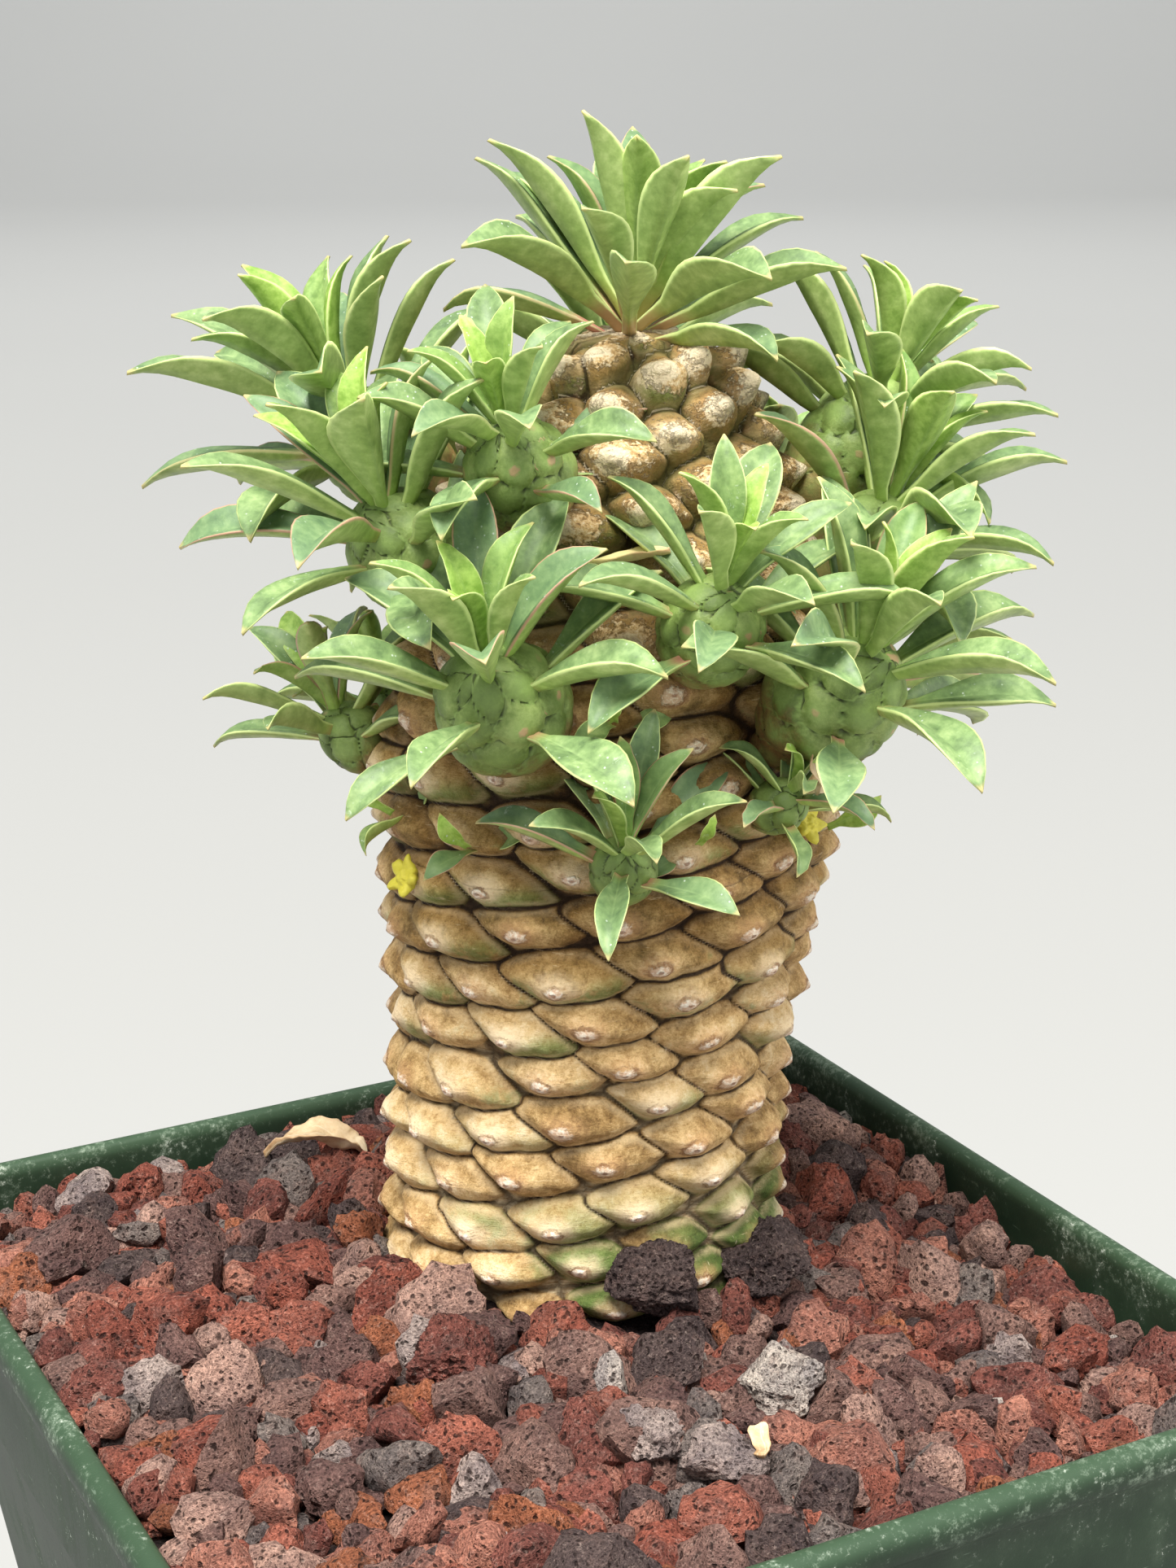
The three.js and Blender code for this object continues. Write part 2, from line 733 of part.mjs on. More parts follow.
for (const [name, [bearing, height, lift], length, points, droop, curl, look] of LOOSE_LEAVES) {
  const place = new THREE.Matrix4().setPosition(onStem(bearing, height, lift));
  const make = (growth) => looseLeafSolid(length, points, droop, curl, growth);
  addPiece(name, make, materials[look], place);
}

for (const [name, [x, y], length, points] of FALLEN_LEAVES) {
  const rest = bedHeight(x, y) + GRAVEL_LUMP + CLEARANCE;
  const place = new THREE.Matrix4().makeTranslation(x, y, rest);
  const make = (growth) => looseLeafSolid(length, points, 68, 45, growth);
  addPiece(name, make, materials.withered, place);
}

export default euphorbia;
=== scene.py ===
"""A potted euphorbia: scaly stem, leafy shoots, lava gravel and a square nursery pot.

Shapes are worked out in millimetres with z measured from the pot's rim, and brought to
metres in the model's frame when a mesh is made.
"""

import math

import bmesh
import bpy
import numpy as np
from mathutils import Matrix, Vector


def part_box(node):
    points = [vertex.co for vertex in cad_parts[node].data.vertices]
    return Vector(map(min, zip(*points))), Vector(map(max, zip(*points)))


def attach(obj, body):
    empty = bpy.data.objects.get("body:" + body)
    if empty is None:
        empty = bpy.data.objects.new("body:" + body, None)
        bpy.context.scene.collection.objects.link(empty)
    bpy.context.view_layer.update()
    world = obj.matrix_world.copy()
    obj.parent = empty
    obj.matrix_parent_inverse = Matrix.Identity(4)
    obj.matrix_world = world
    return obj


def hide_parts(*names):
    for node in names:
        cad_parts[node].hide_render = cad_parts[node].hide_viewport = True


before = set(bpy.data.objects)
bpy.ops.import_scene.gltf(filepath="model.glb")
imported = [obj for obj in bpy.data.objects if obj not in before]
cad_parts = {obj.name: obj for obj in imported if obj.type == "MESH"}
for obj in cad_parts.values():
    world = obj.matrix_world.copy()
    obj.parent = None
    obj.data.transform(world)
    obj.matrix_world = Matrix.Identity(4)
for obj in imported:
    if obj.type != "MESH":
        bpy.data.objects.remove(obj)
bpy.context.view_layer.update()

MM = 0.001
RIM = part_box("pot")[1].z  # the pot's top edge, where z is 0 in all the tables below
POT_TALL = RIM / MM
RIM_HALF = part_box("pot")[1].x / MM
ROOT = "root"

# ---- Camera, light and floor ----

CAMERA_PLACE = (-127.4, -247.7, 146.6)
CAMERA_AHEAD = (0.4465, 0.8446, -0.295)
CAMERA_RIGHT = (0.884, -0.467)
CAMERA_ROLL = -0.0067
CAMERA_LENS = 60.08
SENSOR = 36.0

WORLD_COLOUR = (0.92, 0.96, 1.0)
WORLD_STRENGTH = 0.68
# name, place, aimed at, size and watts, colour, all in metres in the model's frame
LIGHTS = [
    ("high_light", (-0.7, -0.75, 2.5), (0, 0, 0.15), 1.5, 165.0, (1.0, 0.98, 0.94)),
    ("backdrop_light", (0.8, 1.5, 2.4), (2.0, 3.9, 0.9), 1.4, 70.0, (1.0, 1.0, 1.0)),
    ("side_light", (0.8, -0.5, 0.5), (0, 0, 0.15), 0.6, 4.0, (1.0, 0.97, 0.92)),
]
# the floor runs back, away from the camera, and sweeps up into a wall
PAPER = (160, 160, 158)
FLOOR_FRONT = -9.0
FLOOR_BACK = 3.0
FLOOR_HALF = 12.0
FLOOR_TURN = -27.8
SWEEP = 1.6


def from_rim(x, y, z):
    """A place in millimetres over the rim's level, in metres in the model's frame."""
    return Vector((x * MM, y * MM, z * MM + RIM))


def make_camera():
    camera = bpy.data.objects.new("camera", bpy.data.cameras.new("camera"))
    bpy.context.scene.collection.objects.link(camera)
    camera.data.lens = CAMERA_LENS
    camera.data.sensor_width = SENSOR
    camera.data.sensor_fit = "AUTO"
    camera.data.clip_start = 0.01
    camera.data.clip_end = 50.0
    ahead = Vector(CAMERA_AHEAD).normalized()
    right = ahead.cross(Vector((0, 0, 1))).normalized()
    up = right.cross(ahead)
    level = Matrix((right, up, -ahead)).transposed()
    roll = Matrix.Rotation(CAMERA_ROLL, 3, "Z")
    camera.matrix_world = Matrix.Translation(from_rim(*CAMERA_PLACE)) @ (level @ roll).to_4x4()
    bpy.context.scene.camera = camera


def area_light(name, place, target, size, power, colour):
    light = bpy.data.lights.new(name, "AREA")
    light.shape = "DISK"
    light.size = size
    light.energy = power
    light.color = colour
    lamp = bpy.data.objects.new(name, light)
    bpy.context.scene.collection.objects.link(lamp)
    lamp.location = Vector(place)
    facing = Vector(target) - Vector(place)
    lamp.rotation_euler = facing.to_track_quat("-Z", "Y").to_euler()


# ---- Node trees written as sums ----


def paint(*seen):
    """A colour given as red, green and blue from 0 to 255, as light amounts."""
    shares = [c / 255 for c in seen]
    return tuple(c / 12.92 if c < 0.04 else ((c + 0.055) / 1.055) ** 2.4 for c in shares)


def step(operation, swapped=False):
    """A method that does one sum with the wire and, where it needs one, another operand."""

    def method(wire, other=None):
        first, second = (other, wire) if swapped else (wire, other)
        return wire.summed(operation, first, second)

    return method


class Wire:
    """A socket of a node tree that can be used in sums, as a number or a vector is."""

    def __init__(self, tree, socket):
        self.tree = tree
        self.socket = socket

    def summed(self, operation, a, b):
        vector = self.socket.type == "VECTOR"
        if vector and operation == "MULTIPLY" and isinstance(b, (int, float)):
            made = self.tree.add("ShaderNodeVectorMath", {"operation": "SCALE"}, {0: a, "Scale": b})
            return made[0]
        kind = "ShaderNodeVectorMath" if vector else "ShaderNodeMath"
        sockets = {0: a} if b is None else {0: a, 1: b}
        return self.tree.add(kind, {"operation": operation}, sockets)[0]

    __add__ = step("ADD")
    __radd__ = step("ADD", swapped=True)
    __sub__ = step("SUBTRACT")
    __rsub__ = step("SUBTRACT", swapped=True)
    __mul__ = step("MULTIPLY")
    __rmul__ = step("MULTIPLY")
    __truediv__ = step("DIVIDE")
    __rtruediv__ = step("DIVIDE", swapped=True)
    __pow__ = step("POWER")
    __abs__ = step("ABSOLUTE")
    least = step("MINIMUM")
    most = step("MAXIMUM")
    sine = step("SINE")
    cosine = step("COSINE")
    unit = step("NORMALIZE")

    def dot(self, other):
        settings = {"operation": "DOT_PRODUCT"}
        return self.tree.add("ShaderNodeVectorMath", settings, {0: self, 1: other})["Value"]

    def length(self):
        return self.tree.add("ShaderNodeVectorMath", {"operation": "LENGTH"}, {0: self})["Value"]

    def parts(self):
        made = self.tree.add("ShaderNodeSeparateXYZ", {}, {0: self})
        return made[0], made[1], made[2]

    def rise(self, low, high, to_low=0.0, to_high=1.0):
        """Goes smoothly from to_low at low to to_high at high."""
        sockets = {"Value": self, 1: low, 2: high, 3: to_low, 4: to_high}
        return self.tree.add("ShaderNodeMapRange", {"interpolation_type": "SMOOTHSTEP"}, sockets)[0]


class Made:
    """A node that was added: its outputs by name or number."""

    def __init__(self, tree, node):
        self.tree = tree
        self.node = node

    def __getitem__(self, key):
        return Wire(self.tree, self.node.outputs[key])


class Tree:
    """A node tree to which nodes are added with their settings and sockets."""

    def __init__(self, tree):
        self.tree = tree
        tree.nodes.clear()

    def add(self, kind, settings=None, sockets=None):
        node = self.tree.nodes.new(kind)
        for name, value in (settings or {}).items():
            setattr(node, name, value)
        for key, value in (sockets or {}).items():
            self.feed(node.inputs[key], value)
        return Made(self, node)

    def feed(self, socket, value):
        if isinstance(value, Made):
            value = value[0]
        if isinstance(value, Wire):
            self.tree.links.new(value.socket, socket)
        elif socket.type == "RGBA":
            socket.default_value = (*value, 1.0)
        else:
            socket.default_value = value

    def vector(self, x, y, z):
        return self.add("ShaderNodeCombineXYZ", {}, {0: x, 1: y, 2: z})[0]


class Growth(Tree):
    """A tree that makes geometry, from inputs with names, in one look."""

    def __init__(self, name, look, inputs):
        self.group = bpy.data.node_groups.new(name, "GeometryNodeTree")
        self.look = look
        face = self.group.interface
        face.new_socket("Geometry", in_out="INPUT", socket_type="NodeSocketGeometry")
        for title, value in inputs.items():
            kind = "NodeSocketInt" if isinstance(value, int) else "NodeSocketFloat"
            face.new_socket(title, in_out="INPUT", socket_type=kind).default_value = value
        face.new_socket("Geometry", in_out="OUTPUT", socket_type="NodeSocketGeometry")
        super().__init__(self.group)
        self.given = self.add("NodeGroupInput")

    def chance(self, low, high, salt, of=None):
        """A number from low to high for each point, or for each value of the wire in of."""
        sockets = {2: low, 3: high, "Seed": self.given["Seed"] + salt}
        if of is not None:
            sockets["ID"] = of
        return self.add("FunctionNodeRandomValue", {"data_type": "FLOAT"}, sockets)[1]

    def arrow(self, salt, of):
        """A vector with parts from -1 to 1 for each value of the wire in of."""
        sockets = {0: (-1.0, -1.0, -1.0), 1: (1.0, 1.0, 1.0), "ID": of}
        sockets["Seed"] = self.given["Seed"] + salt
        return self.add("FunctionNodeRandomValue", {"data_type": "FLOAT_VECTOR"}, sockets)[0]

    def store(self, geometry, name, value, kind="FLOAT"):
        settings = {"data_type": kind, "domain": "POINT"}
        sockets = {"Geometry": geometry, "Name": name, "Value": value}
        return self.add("GeometryNodeStoreNamedAttribute", settings, sockets)["Geometry"]

    def recall(self, name, kind="FLOAT"):
        return self.add("GeometryNodeInputNamedAttribute", {"data_type": kind}, {"Name": name})[0]

    def copies(self, points, shape):
        """A real copy of shape on each point."""
        sockets = {"Points": points, "Instance": shape}
        stood = self.add("GeometryNodeInstanceOnPoints", {}, sockets)["Instances"]
        return self.add("GeometryNodeRealizeInstances", {}, {"Geometry": stood})[0]

    def moved(self, geometry, place):
        sockets = {"Geometry": geometry, "Position": place}
        return self.add("GeometryNodeSetPosition", {}, sockets)[0]

    def ended(self, geometry):
        """The whole tree, which gives the geometry smooth and in the look."""
        smooth = self.add("GeometryNodeSetShadeSmooth", {}, {"Geometry": geometry})
        sockets = {"Geometry": smooth, "Material": self.look}
        dressed = self.add("GeometryNodeSetMaterial", {}, sockets)
        self.add("NodeGroupOutput", {}, {"Geometry": dressed})
        return self.group


# ---- Materials ----


class Look(Tree):
    """A material whose colour, roughness and relief are worked out from a few patterns."""

    def __init__(self, name):
        self.material = bpy.data.materials.new(name)
        self.material.use_nodes = True
        super().__init__(self.material.node_tree)
        place = self.add("ShaderNodeTexCoord")["Object"]
        self.place = place * (1 / MM)  # millimetres

    def attribute(self, name):
        return self.add("ShaderNodeAttribute", {"attribute_name": name})["Fac"]

    def spot(self, name):
        return self.add("ShaderNodeAttribute", {"attribute_name": name})["Vector"]

    def noise(self, size, detail=3.0, rough=0.55, place=None, distort=0.0):
        """Cloudy noise whose blots are about size millimetres across."""
        sockets = {
            "Vector": self.place if place is None else place,
            "Scale": 1 / size,
            "Detail": detail,
            "Roughness": rough,
            "Distortion": distort,
        }
        return self.add("ShaderNodeTexNoise", {}, sockets)["Fac"]

    def cells(self, size, feature="F1", place=None, random=1.0):
        """Distance within cells of about size millimetres."""
        sockets = {
            "Vector": self.place if place is None else place,
            "Scale": 1 / size,
            "Randomness": random,
        }
        return self.add("ShaderNodeTexVoronoi", {"feature": feature}, sockets)["Distance"]

    def blend(self, share, a, b, how="MIX"):
        """b laid over a, or multiplied over it, as far as share says."""
        settings = {"data_type": "RGBA", "blend_type": how}
        return self.add("ShaderNodeMix", settings, {0: share, 6: a, 7: b})[2]

    def cover(self, share, colour):
        """Lays a colour over the look's own."""
        self.colour = self.blend(share, self.colour, colour)

    def tint(self, share, colour):
        """Multiplies a colour over the look's own."""
        self.colour = self.blend(share, self.colour, colour, "MULTIPLY")

    def ramp(self, value, stops, interpolation="LINEAR"):
        """Each stop is a place and a painted red, green and blue, or a place and a colour."""
        made = self.add("ShaderNodeValToRGB", {}, {0: value})
        ramp = made.node.color_ramp
        ramp.interpolation = interpolation
        while len(ramp.elements) < len(stops):
            ramp.elements.new(0.5)
        for element, (place, *colour) in zip(ramp.elements, stops):
            element.position = place
            element.color = (*(paint(*colour) if len(colour) == 3 else colour[0]), 1.0)
        return made[0]

    def finish(self, rough, relief, depth, specular=0.5):
        """relief is a height from 0 to 1 that stands depth millimetres."""
        sockets = {"Height": relief, "Distance": depth * MM, "Strength": 1.0}
        bump = self.add("ShaderNodeBump", {}, sockets)
        sockets = {
            "Base Color": self.colour,
            "Roughness": rough,
            "Normal": bump["Normal"],
            "Specular IOR Level": specular,
        }
        shader = self.add("ShaderNodeBsdfPrincipled", {}, sockets)
        self.add("ShaderNodeOutputMaterial", {}, {"Surface": shader})
        return self.material


def bark_look():
    """Corky stem skin: tan almonds with pale scars, green low margins, and painted shade in the creases
    and gaps and towards the almonds' low sides and corners.
    """
    look = Look("corky_bark")
    across, up, tone = look.spot("own_place").parts()
    seam = look.attribute("seam")
    stand = look.attribute("stand")
    height = look.place.parts()[2] - POT_TALL
    speck = look.noise(0.22, 3.0, 0.7)
    grain = look.noise(0.55, 5.0, 0.72)
    blots = look.noise(3.0, 5.0, 0.66)
    broad = look.noise(11.0, 3.0, 0.55)
    fibres = look.noise(0.8, 4.0, 0.7, look.vector(across * 0.35, up * 2.4, height * 0.3))

    mix = blots * 0.50 + grain * 0.24 + speck * 0.16 + (tone - 0.5) * 0.12 + 0.05
    tan, olive, green = (
        look.ramp(mix, stops)
        for stops in (
            ((0.36, 130, 100, 58), (0.45, 188, 154, 100), (0.53, 230, 198, 144), (0.64, 252, 234, 196)),
            ((0.36, 92, 74, 38), (0.46, 154, 126, 74), (0.55, 206, 174, 116), (0.66, 244, 218, 166)),
            ((0.36, 66, 84, 36), (0.48, 98, 120, 58), (0.58, 126, 146, 80), (0.68, 164, 172, 110)),
        )
    )
    lofty = height.rise(28.0, 50.0)
    x, y, _ = look.place.parts()
    rightward = (x - STEM_FOOT[0]) * CAMERA_RIGHT[0] + (y - STEM_FOOT[1]) * CAMERA_RIGHT[1]
    shade = (lofty * 0.8 + (broad - 0.5) * 1.1 + (tone - 0.5) * 0.4).rise(0.2, 0.8)
    look.colour = look.blend(shade, tan, olive)

    # green skin shows at the foot and along the lower margins of the almonds higher up
    patches = rightward * 0.022 + broad * 0.9 + blots * 0.5 + tone * 0.3
    foot = height.rise(19.0, 7.0) * patches.rise(0.66, 0.94)
    under_side = (up - abs(across) * 0.25).rise(0.9, -1.6)
    margin = under_side * height.rise(10.0, 34.0) * (tone + (blots - 0.5) * 1.6).rise(0.55, 0.85)
    look.cover(foot.most(margin * 0.85), green)

    # painted shade: the low sides of each almond are darkened, more so higher up the stem
    shoulder_shade = stand.rise(0.75, 0.15) * (0.45 + grain * 0.7) * (0.2 + lofty * 0.5)
    look.tint(shoulder_shade, paint(176, 150, 112))
    # painted shade: each almond is darkened away from its nose, towards its corners
    corner_shade = look.vector(across * 0.16, up * 0.33, 0.0).length().rise(0.35, 1.05)
    look.tint(corner_shade * (0.4 + lofty * 0.4), paint(184, 162, 116))

    # a pale halo, partly pale skin and partly a painted highlight on the nose, round a raised pale scar
    # with an uneven dark ring and a pit in it
    wobble = (look.noise(0.9, 3.0, 0.6) - 0.5) * 1.5
    halo_far = look.vector(across * 0.36, (up - 0.3) * 0.55, 0.0).length() + wobble * 0.45
    halo_and_highlight = halo_far.rise(1.30, 0.3) * (0.5 + tone * 0.5)
    pale = (tone + grain - 0.5).rise(0.3, 0.8)
    halo_colour = look.blend(pale, paint(222, 172, 122), paint(244, 220, 182))
    look.cover(halo_and_highlight * 0.85, halo_colour)
    ragged = (look.noise(0.45, 3.0, 0.7) - 0.5) * 1.2
    size = 0.70 + tone * 0.5
    far = look.vector(across * 0.88, up * 1.22, 0.0).length() * size + wobble * 0.50 + ragged * 0.36
    ring = far.rise(0.70, 0.98) * far.rise(1.40, 1.05)
    scar = far.rise(1.02, 0.66)
    deep = look.vector(across, up * 1.7, 0.0).length() + wobble * 0.35 + ragged * 0.3
    pit = deep.rise(0.44, 0.16)
    clear = seam.rise(0.05, 0.3)
    look.cover(ring * clear * (blots.rise(0.40, 0.60) * 0.8), paint(134, 92, 62))
    scar_colour = look.blend(grain.rise(0.4, 0.62), paint(226, 190, 160), paint(255, 246, 230))
    look.cover(scar * clear * (0.7 + tone * 0.3), scar_colour)
    look.cover(pit * clear * 0.75, paint(150, 104, 76))

    # stretch lines, painted shade in the creases and the gaps, and the pale fibres in the gaps where
    # the tips meet
    lines = (fibres - 0.5).rise(0.10, 0.22)
    look.cover(lines * 0.35, paint(236, 214, 170))
    stretched = look.vector(across * 2.4, up * 0.35, height * 0.2)
    cracks = look.noise(1.0, 3.0, 0.7, stretched).rise(0.66, 0.74)
    look.cover(cracks * height.rise(30.0, 10.0) * 0.5, paint(244, 226, 190))
    # painted shade: the gaps between the almonds are darkened, except where they are dry and show pale
    # fibres
    gap = stand.rise(0.10, -0.05)
    fibre_colour = look.ramp(fibres, [(0.35, 168, 132, 84), (0.6, 240, 220, 178)])
    dry = height.rise(52.0, 20.0) * (broad + grain * 0.4).rise(0.45, 0.72)
    gap_shade = look.ramp(grain, [(0.36, 58, 36, 16), (0.64, 138, 100, 56)])
    look.cover(gap, look.blend(dry, gap_shade, fibre_colour))
    pale_edge = seam.rise(0.75, 0.35) * seam.rise(0.15, 0.35) * (broad + grain * 0.5).rise(0.5, 0.9)
    look.cover(pale_edge * (1.0 - lofty * 0.5) * 0.5, paint(240, 214, 168))
    # painted shade: the creases between the almonds are darkened, more widely higher up
    crease_shade = (seam.rise(0.24, 0.04) + lofty * seam.rise(0.5, 0.05) * 0.35) * (1.0 - gap * 0.3)
    look.cover(crease_shade.least(1.0) * (0.72 + grain * 0.45).least(1.0), paint(46, 28, 12))
    wrinkles = look.noise(0.5, 4.0, 0.75, look.vector(across * 0.7, up * 2.2, tone * 9.0))
    look.tint((wrinkles - 0.5).rise(0.04, 0.18) * 0.5, paint(196, 170, 128))

    peg = height.rise(74.0, 86.0)
    dry_top = (stand - 0.8) * 0.8 + (blots - 0.5) * 2.2 + (grain - 0.5) * 1.4
    cork = peg * dry_top.rise(-0.05, 0.2)
    stops = [(0.36, 166, 124, 76), (0.5, 222, 184, 128), (0.64, 250, 232, 196)]
    cork_colour = look.ramp(grain, stops)
    look.cover(cork * 0.9, cork_colour)
    off_top = look.vector(across * 0.5, up * 0.58, 0.0).length() + wobble * 0.6 + ragged * 0.3
    cap = peg * off_top.rise(0.95, 0.7)
    look.cover(cap * 0.85, paint(250, 232, 198))
    side = peg * stand.rise(0.85, 0.35) * blots.rise(0.66, 0.42)
    look.cover(side * 0.55, paint(118, 114, 62))
    relief = grain * 0.45 + speck * 0.15 + fibres * 0.3 + blots * 0.45 + scar * 0.3 - pit * 0.35
    relief = relief - ring * 0.2 + cork * (grain * 0.8 + 0.4) - wrinkles * 0.35
    rough = 0.58 + grain * 0.22 - scar * 0.12
    return look.finish(rough, relief, 0.42, 0.28)


def leaf_look(name, tint, yellow):
    """Leaf skin: dusky blue-green above, yellower below, with a pale rim and white specks."""
    look = Look(name)
    across, along, upper, age, tone = (
        look.attribute(key) for key in ("across", "along", "upper", "age", "tone")
    )
    grain = look.noise(0.35, 3.0, 0.6)
    blots = look.noise(3.0, 4.0, 0.6)
    mottle = look.noise(1.1, 3.0, 0.6)

    cloud = blots * 0.6 + mottle * 0.4
    top = look.ramp(cloud, [(0.34, 82, 106, 66), (0.5, 114, 140, 88), (0.66, 148, 170, 114)])
    under = look.ramp(cloud, [(0.34, 134, 158, 86), (0.5, 164, 186, 110), (0.66, 196, 212, 140)])
    look.colour = look.blend(upper.rise(-0.15, 0.15), under, top)
    fresh = look.ramp(mottle, [(0.35, 128, 164, 58), (0.65, 170, 200, 96)])
    glow = (along * -2.2 + 1.15 + (blots - 0.5) * 1.6).rise(0.0, 1.0) * (tone * 0.6 + 0.1)
    young = age.rise(0.30, 0.0) * 0.85
    look.cover(young.most(glow * upper.rise(0.3, -0.3)) + yellow, fresh)
    look.cover((tone - 0.62).rise(0.0, 0.3) * 0.35 * upper.rise(-0.2, 0.3), paint(84, 116, 92))
    foot = along.rise(0.34, 0.02)
    look.cover(foot * 0.6, paint(168, 198, 96))
    stalk = along.rise(0.24, 0.04) * age.rise(0.40, 0.7) * (tone * 0.5 + 0.5)
    look.cover(stalk * 0.85, paint(192, 108, 108))
    side = abs(across)
    vein = side.rise(0.12, 0.0) * along.rise(0.9, 0.3) * 0.30
    look.cover(vein, paint(172, 196, 134))
    rim = (side + (mottle - 0.5) * 0.04).rise(0.90, 0.97)
    rim_colour = look.blend(tone.rise(0.80, 0.97), paint(214, 230, 152), paint(206, 160, 134))
    look.cover(rim * 0.9, rim_colour)
    tip = along.rise(0.955, 0.995)
    look.cover(tip * 0.6, paint(214, 190, 130))
    specks = look.cells(0.8).rise(0.20, 0.08) * look.noise(5.0, 2.0).rise(0.50, 0.60)
    dried = look.noise(1.6, 5.0, 0.75, distort=0.6).rise(0.60, 0.68)
    dried = dried * look.noise(8.0, 2.0).rise(0.5, 0.60)
    white = (specks + dried * 0.5) * upper.rise(-0.1, 0.2)
    look.cover(white * 0.6, paint(206, 218, 206))
    look.tint(1.0, tint)
    relief = grain * 0.25 + mottle * 0.35 + white * 0.3 - vein * 0.4
    rough = 0.36 + mottle * 0.16 + upper.rise(-0.2, 0.2) * 0.08 + white * 0.25
    return look.finish(rough, relief, 0.10, 0.45)


def body_look():
    """Green shoot skin: plates with painted shade in the creases between them, over a brown foot."""
    look = Look("shoot_skin")
    across, up, tone = look.spot("own_place").parts()
    seam = look.attribute("seam")
    level = look.attribute("level")
    grain = look.noise(0.35, 4.0, 0.65)
    blots = look.noise(2.4, 4.0, 0.6)
    look.colour = look.ramp(
        blots * 0.55 + grain * 0.25 + tone * 0.2,
        [(0.35, 76, 94, 40), (0.5, 106, 128, 60), (0.65, 142, 160, 92)],
    )
    brown = look.ramp(grain * 0.5 + blots * 0.5, [(0.3, 84, 54, 28), (0.7, 170, 132, 82)])
    look.cover((level + (blots - 0.5) * 0.7).rise(0.50, 0.20), brown)
    lit = look.vector(across * 0.4, up * 0.5, 0.0).length() + (grain - 0.5) * 0.3
    look.cover(lit.rise(1.0, 0.1) * 0.35, paint(154, 182, 104))
    scar = (lit + (blots - 0.5) * 0.5).rise(0.26, 0.12) * seam.rise(0.05, 0.3)
    scar = scar * tone.rise(0.74, 0.86)
    look.cover(scar * 0.7, paint(196, 150, 120))
    # painted shade: the creases between the plates are darkened
    crease_shade = seam.rise(0.30, 0.02)
    look.cover(crease_shade * 0.85, paint(46, 56, 22))
    relief = grain * 0.3 + seam.rise(0.0, 0.3) * 0.5 + scar * 0.2
    rough = 0.46 + grain * 0.16
    return look.finish(rough, relief, 0.22, 0.45)


def gravel_look(name, dark):
    """Porous lava: each stone has its own tone, all of them pitted, with painted shade in the pits;
    dark is multiplied over all, as painted shade for a shaded copy.
    """
    look = Look(name)
    tone = look.attribute("tone")
    drift = look.spot("drift")
    here = look.place + drift
    grain = look.noise(0.4, 5.0, 0.75, here)
    blots = look.noise(1.9, 5.0, 0.68, here)
    broad = look.noise(5.0, 2.0, 0.5, here)
    swirl = {"Vector": here, "Scale": 0.9, "Detail": 2.0}
    warped = here + look.add("ShaderNodeTexNoise", {}, swirl)["Color"]
    pits = look.cells(0.85, "SMOOTH_F1", warped)
    small_pits = look.cells(0.42, "F1", here)
    families = [
        (0.00, 160, 92, 76), (0.14, 174, 106, 88), (0.27, 138, 84, 74), (0.38, 184, 126, 108),
        (0.46, 120, 92, 87), (0.56, 96, 82, 80), (0.66, 148, 116, 106), (0.77, 132, 122, 117),
        (0.85, 170, 106, 76), (0.885, 188, 152, 138), (0.955, 180, 164, 158), (0.987, 212, 202, 192),
    ]
    look.colour = look.ramp(tone, families, "CONSTANT")
    stops = [(0.32, (0.34, 0.32, 0.32)), (0.5, (0.95, 0.95, 0.95)), (0.68, (1.7, 1.66, 1.62))]
    tones = look.ramp(grain, stops)
    look.tint(1.0, tones)
    washes = look.ramp(broad, [(0.32, (0.62, 0.60, 0.64)), (0.68, (1.35, 1.3, 1.25))])
    look.tint(0.9, washes)
    mixed = look.noise(3.4, 4.0, 0.7, here + (31.0, 31.0, 31.0)).rise(0.50, 0.66)
    look.cover(mixed * 0.45, look.blend(1.0, paint(132, 106, 98), tones, "MULTIPLY"))
    # painted shade: the pits and pinholes are darkened, as the shade inside them
    hole = pits.rise(0.34, 0.16) * blots.rise(0.36, 0.52)
    pin = small_pits.rise(0.38, 0.16) * grain.rise(0.36, 0.56)
    look.cover(hole * 0.85, paint(34, 18, 16))
    look.cover(pin * 0.6, paint(48, 26, 22))
    dust = look.noise(0.8, 5.0, 0.85, here).rise(0.54, 0.68)
    look.cover(dust * 0.35, paint(214, 192, 178))
    # dark is a painted shade tint, which makes a shaded copy of the lava for the sheet under the stones
    look.tint(1.0, dark)
    relief = grain * 0.7 + blots * 0.75 - hole * 0.6 - pin * 0.3
    rough = 0.88 + grain * 0.1
    return look.finish(rough, relief, 1.5, 0.18)


